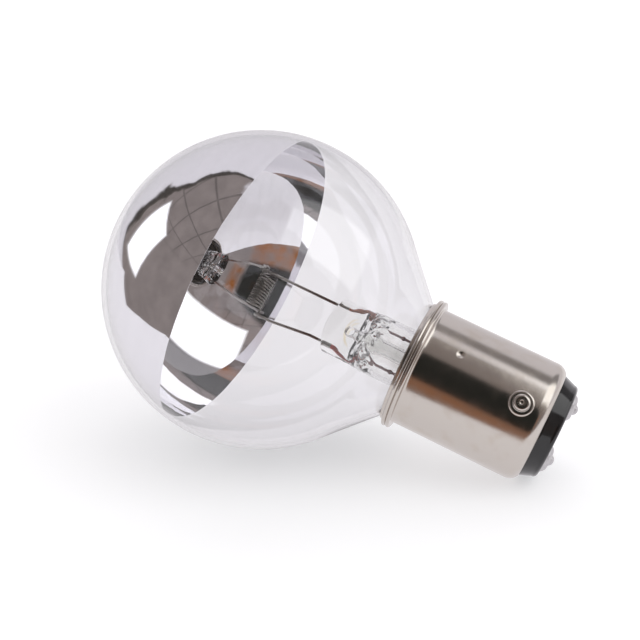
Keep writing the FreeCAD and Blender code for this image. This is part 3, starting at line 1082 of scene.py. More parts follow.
    def glass(self) -> None:
        """One closed skin from the tip over the outside to the rim and back inside, with its side hole."""
        tip = self.tip_rows()
        body = self.body_rows(tip[-1])
        angles = round_angles(self.columns)
        tube = turned_points(np.concatenate([
            run_points((self.tube_start + 0.3, self.tube_radius),
                       (self.flare_start - 0.3, self.tube_radius), 8),
            self.flare(self.tube_radius, self.flare_radius, 14)]), angles)
        inside = turned_points(self.inner_profile(), angles)
        body = self.pulled(body, self.skin_ripple, seed=3, shortest=0.8, longest=2.0)
        inside = self.pulled(inside, self.cone_ripple, seed=8, shortest=0.7, longest=1.8)
        grid = np.concatenate([tip, body, tube, inside])
        stem = Piece("stem", ("glass_stem",), "stem_glass").from_grid(grid, StemGlass().material())
        self.drill(stem)

    def drill(self, stem: bpy.types.Object) -> None:
        """Cuts the exhaust hole from the front face of the press to the channel.

        Args:
            stem: the stem's object.
        """
        behind, front, count = -0.05, 2.2, 40
        reach = np.array([
            [behind, 0.0], [behind, self.hole_radius], [front, self.hole_radius], [front, 0.0]])
        angles = round_angles(count)
        x = self.hole_x + reach[:, 1:] * np.cos(angles)
        y = -np.repeat(reach[:, :1], count, axis=1)
        z = reach[:, 1:] * np.sin(angles)
        points = PLACEMENT.place(np.stack([x, y, z], axis=2).reshape(-1, 3), Turn.ROLLED)
        mesh = bpy.data.meshes.new("drill")
        mesh.from_pydata(points.tolist(), [], grid_faces(4, count, False).tolist())
        work = bmesh.new()
        work.from_mesh(mesh)
        bmesh.ops.remove_doubles(work, verts=work.verts, dist=MERGE)
        bmesh.ops.recalc_face_normals(work, faces=work.faces)
        work.to_mesh(mesh)
        work.free()
        tool = bpy.data.objects.new("drill", mesh)
        bpy.context.scene.collection.objects.link(tool)
        cut = stem.modifiers.new("exhaust_hole", "BOOLEAN")
        cut.operation = "DIFFERENCE"
        cut.solver = "EXACT"
        cut.object = tool
        bpy.context.view_layer.update()
        finished = bpy.data.meshes.new_from_object(stem.evaluated_get(bpy.context.evaluated_depsgraph_get()))
        stem.modifiers.clear()
        stem.data = finished
        smooth_with_edges(stem.data, 35.0)
        bpy.data.objects.remove(tool)

    def exhaust(self) -> None:
        """The thin tube, with both walls in one closed profile and a rounded end."""
        inner = self.exhaust_radius - self.exhaust_wall
        dome = self.exhaust_end - self.exhaust_radius
        start = self.cone_start - 0.02
        profile = np.concatenate([
            run_points((start, self.exhaust_radius), (dome, self.exhaust_radius), 24),
            arc_points(dome, 0, self.exhaust_radius, 90, 0, 10)[1:],
            arc_points(dome, 0, inner, 0, 90, 10),
            run_points((dome - 0.1, inner), (start, inner), 24)])
        Piece("exhaust", ("exhaust_tube",), "stem_glass").from_grid(
            turned_points(profile, round_angles(48)), StemGlass().material(), rows_close=True)

    def build(self) -> None:
        """Builds both pieces."""
        self.glass()
        self.exhaust()


class Side(Enum):
    """Which of the two sides of the axis a wire or contact is on."""

    UPPER = 1
    LOWER = -1


@dataclass(frozen=True)
class Wires:
    """The coil, the leads that hook it, the wires sealed into the press and those to the contacts."""

    coil_x: float = -0.1
    coil_radius: float = 0.98
    coil_wire: float = 0.12
    coil_bottom: float = -2.2425
    coil_pitch: float = 0.37
    half_turns: int = 21
    tail_offset: float = 0.31
    lead_radius: float = 0.18
    upper_height: float = 2.5025
    lower_height: float = -3.0925
    lead_end: float = 11.1
    lower_bend_x: float = 8.0
    level_run: float = 2.0
    lead_bend: float = 2.0
    tail_past_lead: float = 0.3
    hook_return: float = 0.45
    seal_radius: float = 0.16
    seal_end: float = 15.0
    seal_straight: float = 0.4
    seal_bend: float = 0.6
    bow_start: float = 13.4
    bow_end: float = 13.9
    seal_bow: float = 3.0525
    seal_back: float = 2.25
    outer_radius: float = 0.165
    splay_start: float = 31.096
    splay_end: float = 34.096
    contact_offset: float = 3.4
    outer_end: float = 40.39
    knot_radius: float = 0.3
    upper_knot: float = 18.6
    lower_knot: float = 18.95

    def sweep(self, name: str, node: str, slot: str, path: np.ndarray, radius: "float | np.ndarray",
              aside: np.ndarray, material: bpy.types.Material, count: int = 20) -> None:
        """Makes one wire.

        Args:
            name: name of the piece.
            node: CAD node that it stands for.
            slot: its material slot.
            path: its middle line.
            radius: one radius, or one per point.
            aside: side vector for its rings.
            material: its finish.
            count: points round it.
        """
        radii = np.broadcast_to(np.asarray(radius, float), (len(path),))
        grid = sweep_points(path, radii, aside, count)
        Piece(name, (node,), slot, sharp_angle=60.0).from_grid(grid, material)

    def coil(self) -> None:
        """The helix with a quarter bend and a straight tail at each end.

        On the helix x is the coil's middle plus its radius times the cosine of the turn, y is
        minus its radius times the sine, and z grows by one pitch a turn. A bend is a quarter
        circle in the plane of Y and Z.
        """
        turn = np.linspace(0, self.half_turns * math.pi, self.half_turns * 24 + 1)
        helix = np.stack([
            self.coil_x + self.coil_radius * np.cos(turn),
            -self.coil_radius * np.sin(turn),
            self.coil_bottom + self.coil_pitch * turn / (2 * math.pi)], axis=1)
        count = 9
        quarter = np.linspace(0, math.pi / 2, count)
        offset = self.tail_offset
        low_x, high_x = helix[0, 0], helix[-1, 0]
        bottom, top = self.coil_bottom, helix[-1, 2]
        low_bend = np.stack([
            np.full(count, low_x), offset * np.cos(quarter),
            bottom - offset + offset * np.sin(quarter)], axis=1)
        high_bend = np.stack([
            np.full(count, high_x), offset * np.sin(quarter),
            top + offset - offset * np.cos(quarter)], axis=1)
        low_tail = straight_points(
            np.array([low_x, offset, self.lower_height - self.tail_past_lead]), low_bend[0], 0.1)
        high_tail = straight_points(
            high_bend[-1], np.array([high_x, offset, self.upper_height + self.tail_past_lead]), 0.1)
        path = np.concatenate([low_tail[:-1], low_bend[:-1], helix, high_bend[1:], high_tail[1:]])
        first, last = len(low_tail) + len(low_bend) - 2, len(path) - len(high_tail) - len(high_bend) + 1
        number = np.arange(len(path))
        lean = np.clip(np.maximum((first + 4 - number) / 4, (number - last + 4) / 4), 0, 1)[:, None]
        aside = np.array([0.0, 0.0, 1.0]) * (1 - lean) + np.array([1.0, 0.0, 0.0]) * lean
        self.sweep("coil", "filament", "tungsten", path, self.coil_wire, aside, Tungsten().material(), 16)

    def hook(self, x: float, height: float) -> np.ndarray:
        """Half a circle round a tail and a short run back, level in Z."""
        offset = self.tail_offset
        turn = np.linspace(0, math.pi, 17)
        half = np.stack([
            x - offset * np.sin(turn), offset - offset * np.cos(turn), np.full(17, height)], axis=1)
        back = straight_points(half[-1], half[-1] + np.array([self.hook_return, 0, 0]), 0.15)
        return np.concatenate([half, back[1:]])

    def inner_leads(self) -> None:
        """Both leads from the press to their hooks on the coil's tails."""
        upper_x = self.coil_x - self.coil_radius
        lower_x = self.coil_x + self.coil_radius
        upper = straight_points(
            np.array([self.lead_end, 0, self.upper_height]), np.array([upper_x, 0, self.upper_height]), 0.4)
        lower = bent_path([
            (self.lead_end, 0, -self.upper_height), (self.lower_bend_x, 0, -self.upper_height),
            (lower_x + self.level_run, 0, self.lower_height), (lower_x, 0, self.lower_height)],
            self.lead_bend, 0.3)
        for side, run, x in ((Side.UPPER, upper, upper_x), (Side.LOWER, lower, lower_x)):
            name = side.name.lower()
            path = np.concatenate([run, self.hook(x, run[-1, 2])[1:]])
            self.sweep("lead_" + name, "inner_lead_" + name, "nickel_wire", path, self.lead_radius,
                       np.array([0.0, 0.0, 1.0]), NickelWire().material())

    def seal_wires(self) -> None:
        """The red wires that bow outwards inside the press."""
        for side in Side:
            name = side.name.lower()
            heights = (
                (self.lead_end, self.upper_height), (self.lead_end + self.seal_straight, self.upper_height),
                (self.bow_start, self.seal_bow), (self.bow_end, self.seal_bow),
                (self.seal_end - self.seal_straight, self.seal_back), (self.seal_end, self.seal_back))
            path = bent_path([(x, 0, side.value * z) for x, z in heights], self.seal_bend, 0.08)
            self.sweep("seal_" + name, "seal_wire_" + name, "copper_wire", path, self.seal_radius,
                       np.array([0.0, 1.0, 0.0]), CopperWire().material())

    def outer_leads(self) -> None:
        """The wires from the press to the contacts, each swollen to a weld knot.

        The radius is the wire's, or half the chord of a ball at the knot where that is larger.
        """
        for side, knot in ((Side.UPPER, self.upper_knot), (Side.LOWER, self.lower_knot)):
            name = side.name.lower()
            path = bent_path([
                (self.seal_end, 0, side.value * self.seal_back),
                (self.splay_start, 0, side.value * self.seal_back),
                (self.splay_end, 0, side.value * self.contact_offset),
                (self.outer_end, 0, side.value * self.contact_offset)], self.lead_bend, 0.06)
            chord = np.sqrt(np.clip(self.knot_radius ** 2 - (path[:, 0] - knot) ** 2, 0, None))
            radius = np.maximum(self.outer_radius, chord)
            self.sweep("outer_" + name, "outer_lead_" + name, "nickel_wire", path, radius,
                       np.array([0.0, 1.0, 0.0]), NickelWire().material())

    def build(self) -> None:
        """Builds every wire."""
        self.coil()
        self.inner_leads()
        self.seal_wires()
        self.outer_leads()


@dataclass(frozen=True)
class Cap:
    """The drawn shell with its flange and punch mark, both pins, and the cement inside."""

    radius: float = 7.6
    wall: float = 0.3
    start: float = 20.399
    mouth_radius: float = 7.5
    lip_length: float = 0.45
    lip_edge: float = 0.12
    lobe: float = 0.27
    flange_radius: float = 8.5
    fillet: float = 0.35
    round_x: float = 36.956
    round_r: float = 5.95
    round_radius: float = 1.65
    round_turn: float = 61.0
    punch_x: float = 26.299
    punch_turn: float = 16.5
    punch_radius: float = 0.45
    punch_depth: float = 0.16
    pin_x: float = 34.996
    pin_radius: float = 1.0
    pin_top: float = 8.65
    pin_edge: float = 0.34
    dish_radius: float = 0.5
    dish_depth: float = 0.35
    collar_radius: float = 1.55
    collar_top: float = 7.9
    collar_edge: float = 0.29
    shank_radius: float = 0.8
    rivet_radius: float = 1.4
    rivet_start: float = 6.9
    cement_front: float = 22.46
    cement_back: float = 25.6
    cement_inner: float = 6.615
    cement_outer: float = 7.285
    grit: float = 0.12

    def shell_profile(self) -> tuple[np.ndarray, int]:
        """Outside from the mouth to the rounded end, then inside back to the mouth.

        Returns:
            Rows of x and r, and how many of them are on the outside.
        """
        inner = self.radius - self.wall
        lip = self.mouth_radius + self.wall
        flange_front = self.start + self.lip_length
        flange_back = flange_front + 4 * self.lobe
        tip = self.flange_radius - self.lobe
        turn = self.round_turn
        outside = np.concatenate([
            np.array([[self.start, self.mouth_radius]]),
            arc_points(self.start + self.lip_edge, lip - self.lip_edge, self.lip_edge, 180, 90, 6),
            np.array([[flange_front, lip]]),
            arc_points(flange_front + self.lobe, tip, self.lobe, 180, 8, 14),
            arc_points(flange_front + 3 * self.lobe, tip, self.lobe, 172, 0, 14),
            arc_points(flange_back + self.fillet, self.radius + self.fillet, self.fillet, 180, 270, 8),
            run_points((flange_back + self.fillet + 0.3, self.radius),
                       (self.punch_x - 0.6, self.radius), 12),
            run_points((self.punch_x - 0.55, self.radius), (self.punch_x + 0.55, self.radius), 17),
            run_points((self.punch_x + 0.9, self.radius), (self.round_x, self.radius), 30),
            arc_points(self.round_x, self.round_r, self.round_radius, 90, 90 - turn, 18)[1:]])
        inside = np.concatenate([
            arc_points(self.round_x, self.round_r, self.round_radius - self.wall, 90 - turn, 90, 12),
            run_points((self.round_x - 0.5, inner), (flange_front, inner), 20)])
        return np.concatenate([outside, inside]), len(outside)

    def shell(self) -> None:
        """Turns the profile and presses the round punch mark into the outside.

        A point of the outside moves inwards by the depth times one minus the square of its
        distance from the mark over the mark's radius, where that is above zero.
        """
        profile, outside = self.shell_profile()
        mark = math.radians(self.punch_turn)
        fine = mark + np.linspace(-0.075, 0.075, 17)
        coarse = round_angles(224)
        angles = np.sort(np.concatenate([coarse[np.abs(coarse - mark) > 0.09], fine]))
        grid = turned_points(profile, angles)
        along = profile[:, :1] - self.punch_x
        around = self.radius * (angles[None, :] - mark)
        fall = np.clip(1 - (along ** 2 + around ** 2) / self.punch_radius ** 2, 0, None)
        fall[outside:] = 0.0
        depth = self.punch_depth * fall
        grid[:, :, 1] += depth * np.cos(angles)[None, :]
        grid[:, :, 2] -= depth * np.sin(angles)[None, :]
        Piece("shell", ("cap_shell",), "plated_brass", sharp_angle=40.0).from_grid(
            grid, PlatedBrass().material(), rows_close=True)

    def pin(self, name: str, node: str, side: int) -> None:
        """Turns the pin's profile about the Y line: dish, rounded top, collar and rivet head.

        Args:
            name: name of the piece.
            node: CAD node that it stands for.
            side: minus one for the front, one for the back.
        """
        inner = self.radius - self.wall
        top, edge = self.pin_top, self.pin_edge
        bend = np.radians(np.linspace(0, 90, 7))
        rounded_top = np.stack([
            self.pin_radius - edge + edge * np.sin(bend),
            top - edge + edge * np.cos(bend)], axis=1)
        collar = self.collar_edge
        rounded_collar = np.stack([
            self.collar_radius - collar + collar * np.sin(bend),
            self.collar_top - collar + collar * np.cos(bend)], axis=1)
        dish_share = np.linspace(0, 1, 7)
        dish = np.stack([
            self.dish_radius * dish_share,
            top - self.dish_depth * (1 - dish_share ** 3)], axis=1)
        profile = np.concatenate([
            dish,
            np.array([[self.dish_radius + 0.08, top]]),
            rounded_top,
            np.array([[self.pin_radius, self.collar_top + 0.06], [self.pin_radius + 0.05, self.collar_top]]),
            rounded_collar,
            np.array([[self.collar_radius, self.radius - 0.25], [self.shank_radius, inner + 0.02],
                      [self.shank_radius, inner], [self.rivet_radius, inner - 0.05],
                      [self.rivet_radius, self.rivet_start], [0.0, self.rivet_start]])])
        angles = round_angles(56)
        x = self.pin_x + profile[:, :1] * np.cos(angles)
        y = side * np.repeat(profile[:, 1:], 56, axis=1)
        z = profile[:, :1] * np.sin(angles)
        Piece(name, (node,), "plated_brass").from_grid(
            np.stack([x, y, z], axis=2), PlatedBrass().material())

    def cement(self) -> None:
        """A ring between neck and shell, its front made uneven by ripples along X."""
        front, back = self.cement_front, self.cement_back
        inner, outer = self.cement_inner, self.cement_outer
        profile = np.concatenate([
            run_points((front, inner + 0.335), (front, outer - 0.005), 5),
            run_points((front + 0.14, outer), (back - 0.05, outer), 6),
            run_points((back, outer - 0.015), (back, inner + 0.015), 4),
            run_points((back - 0.1, inner), (front + 1.14, inner + 0.005), 6)])
        grid = turned_points(profile, round_angles(120))
        waves = seeded_waves(5, 12, 0.6, 2.0)
        grid[:5, :, 0] += self.grit + (self.grit - 0.01) * ripple(grid[:5], waves)
        Piece("cement", ("basing_cement",), "cement").from_grid(grid, Cement().material(), rows_close=True)

    def build(self) -> None:
        """Builds the shell, the pins and the cement."""
        self.shell()
        self.pin("front_pin", "bayonet_pin_front", -1)
        self.pin("back_pin", "bayonet_pin_back", 1)
        self.cement()


@dataclass(frozen=True)
class EndBlock:
    """The black insulator with its two contact plates and their domes of solder."""

    seat_x: float = 36.596
    boss_start: float = 35.396
    boss_radius: float = 6.6
    seat_radius: float = 7.28
    end_x: float = 40.399
    end_radius: float = 6.05
    end_edge: float = 0.5
    taper_start: tuple[float, float] = (38.5, 6.58)
    round_x: float = 36.956
    round_r: float = 5.95
    round_radius: float = 1.34
    round_turn: float = 61.0
    offset: float = 3.4
    plate_radius: float = 1.9
    plate_thickness: float = 0.3
    plate_proud: float = 0.03
    eyelet_radius: float = 0.75
    eyelet_bore: float = 0.4
    dome_radius: float = 1.8
    dome_height: float = 1.1
    tip_radius: float = 0.75
    swell: float = 0.24
    side_lump: float = 0.05
    top_lump: float = 0.10

    def insulator(self) -> None:
        """Turned profile: boss, seat, the round that fills the shell's curl, taper, edge and end."""
        corner = self.end_radius - self.end_edge
        profile = np.concatenate([
            np.array([[self.boss_start, 0.0]]),
            run_points((self.boss_start, 1.0), (self.boss_start, self.boss_radius), 5),
            np.array([[self.seat_x, self.boss_radius], [self.seat_x, self.seat_radius]]),
            arc_points(self.round_x, self.round_r, self.round_radius, 90, 90 - self.round_turn, 10),
            run_points(self.taper_start, (self.end_x - self.end_edge - 0.05, self.end_radius + 0.01), 10),
            arc_points(self.end_x - self.end_edge, corner, self.end_edge, 90, 0, 8),
            run_points((self.end_x, corner - 0.4), (self.end_x, 0.0), 12)])
        grid = turned_points(profile, round_angles(160))
        Piece("insulator", ("insulator",), "black_glass").from_grid(grid, BlackGlass().material())

    def plate(self, side: Side) -> None:
        """A round plate with its eyelet and bore, a hair proud of the insulator."""
        name = side.name.lower()
        back = self.end_x - self.plate_thickness
        front = self.end_x + self.plate_proud
        profile = np.array([
            [self.boss_start - 0.05, self.eyelet_bore], [self.boss_start - 0.05, self.eyelet_radius],
            [back, self.eyelet_radius], [back, self.plate_radius], [front - 0.03, self.plate_radius],
            [front, self.plate_radius - 0.04], [front, self.eyelet_bore]])
        grid = turned_points(profile, round_angles(64)) + np.array([0, 0, side.value * self.offset])
        Piece("plate_" + name, ("contact_plate_" + name,), "contact_brass").from_grid(
            grid, ContactBrass().material(), rows_close=True)

    def dome(self, side: Side) -> None:
        """A lump of solder: base circle, swollen flank and rounded tip, then ripples on top.

        The flank is the straight line from the base to the tip's round plus the swell times
        four times the share times one minus the share. The ripple moves each point towards
        the dome's axis and back by up to the lump height, less at the base.
        """
        name = side.name.lower()
        tip_x = self.end_x + self.dome_height - self.tip_radius
        angle = math.degrees(math.atan2(self.dome_radius, self.tip_radius))
        tip = arc_points(tip_x, 0, self.tip_radius, angle, 0, 12)
        base = np.array([self.end_x + 0.005, self.dome_radius])
        share = np.linspace(0, 1, 14)[:-1, None]
        chord = tip[0] - base
        outward = np.array([-chord[1], chord[0]]) / np.linalg.norm(chord)
        flank = base + chord * share + outward * self.swell * 4 * share * (1 - share)
        profile = np.concatenate([np.array([[self.end_x + 0.005, 0.0]]), flank, tip])
        grid = turned_points(profile, round_angles(72))
        lump = ripple(grid + np.array([0, 0, side.value * 7.0]), seeded_waves(11, 14, 0.9, 2.6))
        height = np.clip((grid[:, :, 0] - self.end_x) / self.dome_height, 0, 1)
        shrink = 1 - self.side_lump * np.clip(lump + 0.35, 0, 1) * (0.25 + height)
        grid[:, :, 1] *= shrink
        grid[:, :, 2] *= shrink
        grid[:, :, 0] -= self.top_lump * np.clip(lump + 0.1, 0, 1) * height
        grid = grid + np.array([0, 0, side.value * self.offset])
        Piece("solder_" + name, ("solder_contact_" + name,), "solder", sharp_angle=70.0).from_grid(
            grid, Solder().material())

    def build(self) -> None:
        """Builds the insulator and both contacts."""
        self.insulator()
        for side in Side:
            self.plate(side)
            self.dome(side)


# The studio


@dataclass(frozen=True)
class RoomPatch:
    """A part of the room with a colour of its own, as a polygon of directions.

    Each corner is an azimuth from the front towards the cap, and an elevation, in degrees.
    """

    corners: tuple[tuple[float, float], ...]
    colour: Colour
    soft: float
    strength: float = 1.0
    streaked: bool = False

    def mask(self, graph: Graph, direction: object) -> Value:
        """1 inside the polygon: where the direction is on the inner side of every edge's plane.

        Each edge's plane goes through the middle and two corners, so its normal is the cross
        product of the two.

        Args:
            graph: the world's graph.
            direction: the direction socket.

        Returns:
            The mask, with an edge as wide as soft, in degrees.
        """
        azimuth, elevation = np.radians(np.array(self.corners, float)).T
        points = np.stack([np.sin(azimuth) * np.cos(elevation), -np.cos(azimuth) * np.cos(elevation),
                           np.sin(elevation)], axis=1)
        normals = np.cross(points, np.roll(points, -1, axis=0))
        normals /= np.linalg.norm(normals, axis=1, keepdims=True)
        if normals[0] @ points.mean(axis=0) < 0:
            normals = -normals
        mask = None
        for normal in normals:
            across = graph.dot(direction, tuple(float(v) for v in normal))
            inside = across.above(0.0, math.radians(self.soft))
            mask = inside if mask is None else mask.least(inside)
        return mask


BROWN_SHADE: Colour = (0.30, 0.115, 0.04)
ROOM_PATCHES = (
    # Two dark gaps high up towards the cap.
    RoomPatch(((113, 66), (140, 64), (150, 40), (148, 20), (121, 20)), (0.16, 0.15, 0.15), 4.0, 0.8),
    RoomPatch(((118, 64), (142, 71), (163, 56), (150, 51)), (0.16, 0.14, 0.13), 3.0, 0.8),
    # Brown shades in front, below and beside the dark one.
    RoomPatch(((-12, 12), (-13, -22), (26, -22), (32, -3)), BROWN_SHADE, 4.0, streaked=True),
    RoomPatch(((43, -4), (36, 0), (48, 19), (54.5, 14)), BROWN_SHADE, 4.0, streaked=True),
    RoomPatch(((31, -5), (46, 20), (20, 50), (-6, 50), (-8, 4)), (0.012, 0.014, 0.012), 4.0, 0.97),
    # The window and the light box.
    RoomPatch(((-98, 37), (-72, 31), (-81, 3), (-102, 7)), (1.55, 1.55, 1.581), 2.0),
    RoomPatch(((40, 51), (72, 66), (112, 69), (121, 22), (87, 6)), (1.55, 1.55, 1.55), 2.5))


@dataclass(frozen=True)
class Room:
    """The room that glass and metal show, by direction, with angles in degrees."""

    white: Colour = (0.745, 0.72, 0.755)
    grey: Colour = linear(136, 127, 124)
    rim: Colour = (0.05, 0.045, 0.04)
    beams: Colour = (0.05, 0.045, 0.045)
    seen_through: Colour = (0.90, 0.875, 0.91)
    left_edge: float = -111.0
    bend: float = 47.0
    low_slope: float = 0.12
    high_slope: float = 1.2
    right_edge: float = 86.0
    top_edge: float = 80.0
    jag: float = 16.0
    rim_width: float = 7.0
    beam_pitch: float = 2.1
    beam_width: float = 0.03
    beam_start: float = 28.0

    def inside(self, azimuth: Value, elevation: Value, jagged: Value) -> tuple[Value, Value]:
        """Where the dark room is, and the darker rim along its left edge.

        The left edge leans back above and below the bend, and two slanting lines cut the
        lower left corner off.

        Args:
            azimuth: azimuth of the direction.
            elevation: its elevation.
            jagged: unevenness of the edges.

        Returns:
            The masks of the room and its rim.
        """
        high = (elevation - self.bend).most(0.0)
        low = (self.bend - elevation).most(0.0)
        left = self.left_edge - low * self.low_slope - high * self.high_slope
        corner = (elevation + azimuth * 0.4 + 40.0).most(elevation + azimuth * 1.6 + 152.6)
        inside = ((azimuth + jagged).above(left, 2.5) * azimuth.below(self.right_edge, 4.0)
                  * (elevation + jagged * 0.6).below(self.top_edge, 2.5) * corner.above(0.0, 1.5))
        return inside, inside * (azimuth + jagged).below(left + self.rim_width, 2.0)

    def ceiling(self, graph: Graph, direction: object, elevation: Value) -> Value:
        """Crossing beams: the direction is carried to a level plane, where two sets of lines repeat."""
        _, _, z = graph.axes(direction)
        flat = graph.vector("DIVIDE", direction, graph.joined(z.most(0.08), z.most(0.08), 1.0))
        x, y, _ = graph.axes(flat)
        lines = graph.math("PINGPONG", x * self.beam_pitch + y * 0.7, 0.5).least(
            graph.math("PINGPONG", y * self.beam_pitch - x * 0.7, 0.5))
        return lines.below(self.beam_width, self.beam_width) * elevation.above(self.beam_start, 8.0)

    def plain_glass(self, graph: Graph) -> Value:
        """1 for rays that only passed through clear glass."""
        path = graph.node("ShaderNodeLightPath")
        passed, mirrored, scattered = (
            Value(graph, path.outputs[kind + " Depth"]) for kind in ("Transmission", "Glossy", "Diffuse"))
        return passed.above(0.5, 0.2) * mirrored.below(0.5, 0.2) * scattered.below(0.5, 0.2)

    def build(self) -> None:
        """White ground, dark room, beams and patches, and a plain pale ground through clear glass."""
        world = bpy.data.worlds.new("room")
        bpy.context.scene.world = world
        world.use_nodes = True
        graph = Graph(world.node_tree)
        direction = graph.node("ShaderNodeTexCoord").outputs["Generated"]
        uneven = graph.noise(direction, 7.0, 3.0)
        x, y, z = graph.axes(direction)
        azimuth = graph.math("ARCTAN2", x, -y) * (180 / math.pi)
        elevation = graph.math("ARCSINE", z) * (180 / math.pi)
        inside, rim = self.inside(azimuth, elevation, (uneven - 0.5) * self.jag)
        mottled = graph.scaled(self.grey, 0.75 + uneven * 0.5)
        room = graph.mix(self.ceiling(graph, direction, elevation) * 0.45, mottled, self.beams)
        colour = graph.mix(inside, self.white, graph.mix(rim * 0.9, room, self.rim))
        streaked = (uneven * 2.2 - 0.5).most(0.0).least(1.0)
        for patch in ROOM_PATCHES:
            share = patch.mask(graph, direction) * (streaked if patch.streaked else patch.strength)
            colour = graph.mix(share, colour, patch.colour)
        colour = graph.mix(self.plain_glass(graph), colour, self.seen_through)
        background = graph.node("ShaderNodeBackground", {}, {"Color": colour, "Strength": 1.0})
        output = graph.node("ShaderNodeOutputWorld")
        graph.feed(output.inputs["Surface"], background.outputs[0])


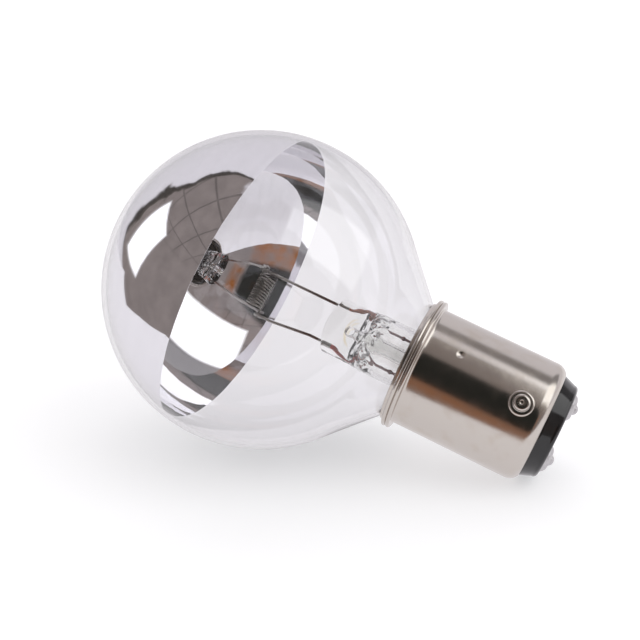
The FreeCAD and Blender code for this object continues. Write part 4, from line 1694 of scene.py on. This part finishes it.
@dataclass(frozen=True)
class Studio:
    """The camera, the floor, the backdrop, the light and the room."""

    camera_place: tuple[float, float, float] = (0.04334, -0.13231, 0.06777)
    camera_azimuth: float = -19.02
    camera_elevation: float = 19.97
    focal_pixels: float = 1190.4
    image_pixels: float = 640.0
    sensor: float = 36.0
    floor_radius: float = 0.95
    floor_paint: Colour = (0.55, 0.55, 0.555)
    floor_glow: Colour = (0.53, 0.53, 0.54)
    table_corners: tuple[tuple[float, float], ...] = (
        (3.0, -0.05), (0.03, -0.040), (-0.001, -0.038), (-0.0606, -0.0571), (-0.0775, -0.0524),
        (-0.1044, -0.0439), (-0.1295, -0.0194), (-0.693, 0.035), (-3.0, 0.22), (-3.0, 4.0), (3.0, 4.0))
    table_height: float = -0.00002
    table_paint: Colour = (0.17, 0.17, 0.17)
    table_glow: Colour = (0.72, 0.70, 0.725)
    backdrop_radius: float = 0.9
    sun_strength: float = 1.6
    sun_angle: float = 150.0
    sun_lean: tuple[float, float] = (-12.0, -8.0)

    def camera(self) -> None:
        """Sets the camera where the photo was taken, level, with no shift."""
        data = bpy.data.cameras.new("camera")
        data.sensor_width = self.sensor
        data.sensor_fit = "HORIZONTAL"
        data.lens = self.focal_pixels / self.image_pixels * self.sensor
        data.clip_start = 0.002
        data.clip_end = 50.0
        azimuth, elevation = math.radians(self.camera_azimuth), math.radians(self.camera_elevation)
        forward = Vector((math.sin(azimuth) * math.cos(elevation),
                          math.cos(azimuth) * math.cos(elevation), -math.sin(elevation)))
        camera = bpy.data.objects.new("camera", data)
        camera.location = self.camera_place
        camera.rotation_mode = "QUATERNION"
        camera.rotation_quaternion = forward.to_track_quat("-Z", "Y")
        bpy.context.scene.collection.objects.link(camera)
        bpy.context.scene.camera = camera

    def floor_material(self, name: str, paint: Colour, glow: Colour) -> bpy.types.Material:
        """Matt paper with the faintest mottling, lit a little from below.

        Args:
            name: name of the material.
            paint: its colour.
            glow: light that it gives by itself.

        Returns:
            The material.
        """
        made = bpy.data.materials.new(name)
        made.use_nodes = True
        graph = Graph(made.node_tree)
        place = graph.node("ShaderNodeTexCoord").outputs["Object"]
        mottle = graph.noise(place, 30.0, 2.0)
        shader = graph.node("ShaderNodeBsdfPrincipled", {}, {
            "Base Color": graph.scaled(paint, 0.98 + mottle * 0.04), "Roughness": 0.9,
            "Specular IOR Level": 0.0, "Emission Color": glow, "Emission Strength": 1.0})
        output = graph.node("ShaderNodeOutputMaterial")
        graph.feed(output.inputs["Surface"], shader.outputs[0])
        return made

    def sheet(self, name: str, corners: list[tuple[float, float]], height: float,
              paint: Colour, glow: Colour) -> bpy.types.Object:
        """A flat sheet of paper on the stage.

        Args:
            name: name of the sheet.
            corners: its outline in X and Y, in metres.
            height: where it lies in Z.
            paint: its colour.
            glow: light that it gives by itself.

        Returns:
            The object.
        """
        mesh = bpy.data.meshes.new(name)
        mesh.from_pydata([(x, y, height) for x, y in corners], [], [list(range(len(corners)))])
        mesh.materials.append(self.floor_material(name + "_paper", paint, glow))
        sheet = bpy.data.objects.new(name, mesh)
        bpy.context.scene.collection.objects.link(sheet)
        return sheet

    @staticmethod
    def keep_for_eye(thing: bpy.types.Object) -> None:
        """Hides an object from all rays but the camera's own."""
        for ray in ("glossy", "transmission", "diffuse", "shadow"):
            setattr(thing, "visible_" + ray, False)

    def floor(self) -> None:
        """The floor that the eye sees, and just under it the table that glass and metal show."""
        turn = round_angles(64)
        rim = np.stack([np.cos(turn), np.sin(turn)], axis=1) * self.floor_radius
        seen = self.sheet("floor", rim.tolist(), 0.0, self.floor_paint, self.floor_glow)
        self.keep_for_eye(seen)
        table = self.sheet("table", list(self.table_corners), self.table_height,
                           self.table_paint, self.table_glow)
        table.visible_camera = False

    def backdrop(self) -> None:
        """A pale dome that only the eye sees, so that every view has a plain ground."""
        rows, columns = 12, 48
        rise = np.linspace(-0.02, math.pi / 2, rows)[:, None]
        turn = round_angles(columns)[None, :]
        radius = self.backdrop_radius
        grid = np.stack([
            radius * np.cos(rise) * np.cos(turn), radius * np.cos(rise) * np.sin(turn),
            np.repeat(radius * np.sin(rise), columns, axis=1)], axis=2)
        mesh = bpy.data.meshes.new("backdrop")
        mesh.from_pydata(grid.reshape(-1, 3).tolist(), [], grid_faces(rows, columns, False).tolist())
        made = bpy.data.materials.new("backdrop")
        made.use_nodes = True
        graph = Graph(made.node_tree)
        light = graph.node("ShaderNodeEmission", {}, {"Color": (1.0, 1.0, 1.0), "Strength": 1.0})
        output = graph.node("ShaderNodeOutputMaterial")
        graph.feed(output.inputs["Surface"], light.outputs[0])
        mesh.materials.append(made)
        dome = bpy.data.objects.new("backdrop", mesh)
        bpy.context.scene.collection.objects.link(dome)
        self.keep_for_eye(dome)

    def lights(self) -> None:
        """One wide soft light from above, which the metal doesn't reflect."""
        data = bpy.data.lights.new("overhead", "SUN")
        data.energy = self.sun_strength
        data.angle = math.radians(self.sun_angle)
        light = bpy.data.objects.new("overhead", data)
        light.rotation_euler = (math.radians(self.sun_lean[0]), math.radians(self.sun_lean[1]), 0)
        light.visible_glossy = False
        light.visible_transmission = False
        light.visible_camera = False
        bpy.context.scene.collection.objects.link(light)

    def build(self) -> None:
        """Sets the whole studio and the plain colour transform."""
        self.camera()
        self.floor()
        self.backdrop()
        self.lights()
        Room().build()
        bpy.context.scene.view_settings.view_transform = "Standard"


def main() -> None:
    """Loads the frame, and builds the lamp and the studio."""
    logging.basicConfig(level=logging.INFO, format="%(message)s")
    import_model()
    for assembly in (Globe(), Stem(), Wires(), Cap(), EndBlock(), Studio()):
        assembly.build()
        LOG.info("%s done", type(assembly).__name__)


if __name__ == "__main__":
    main()
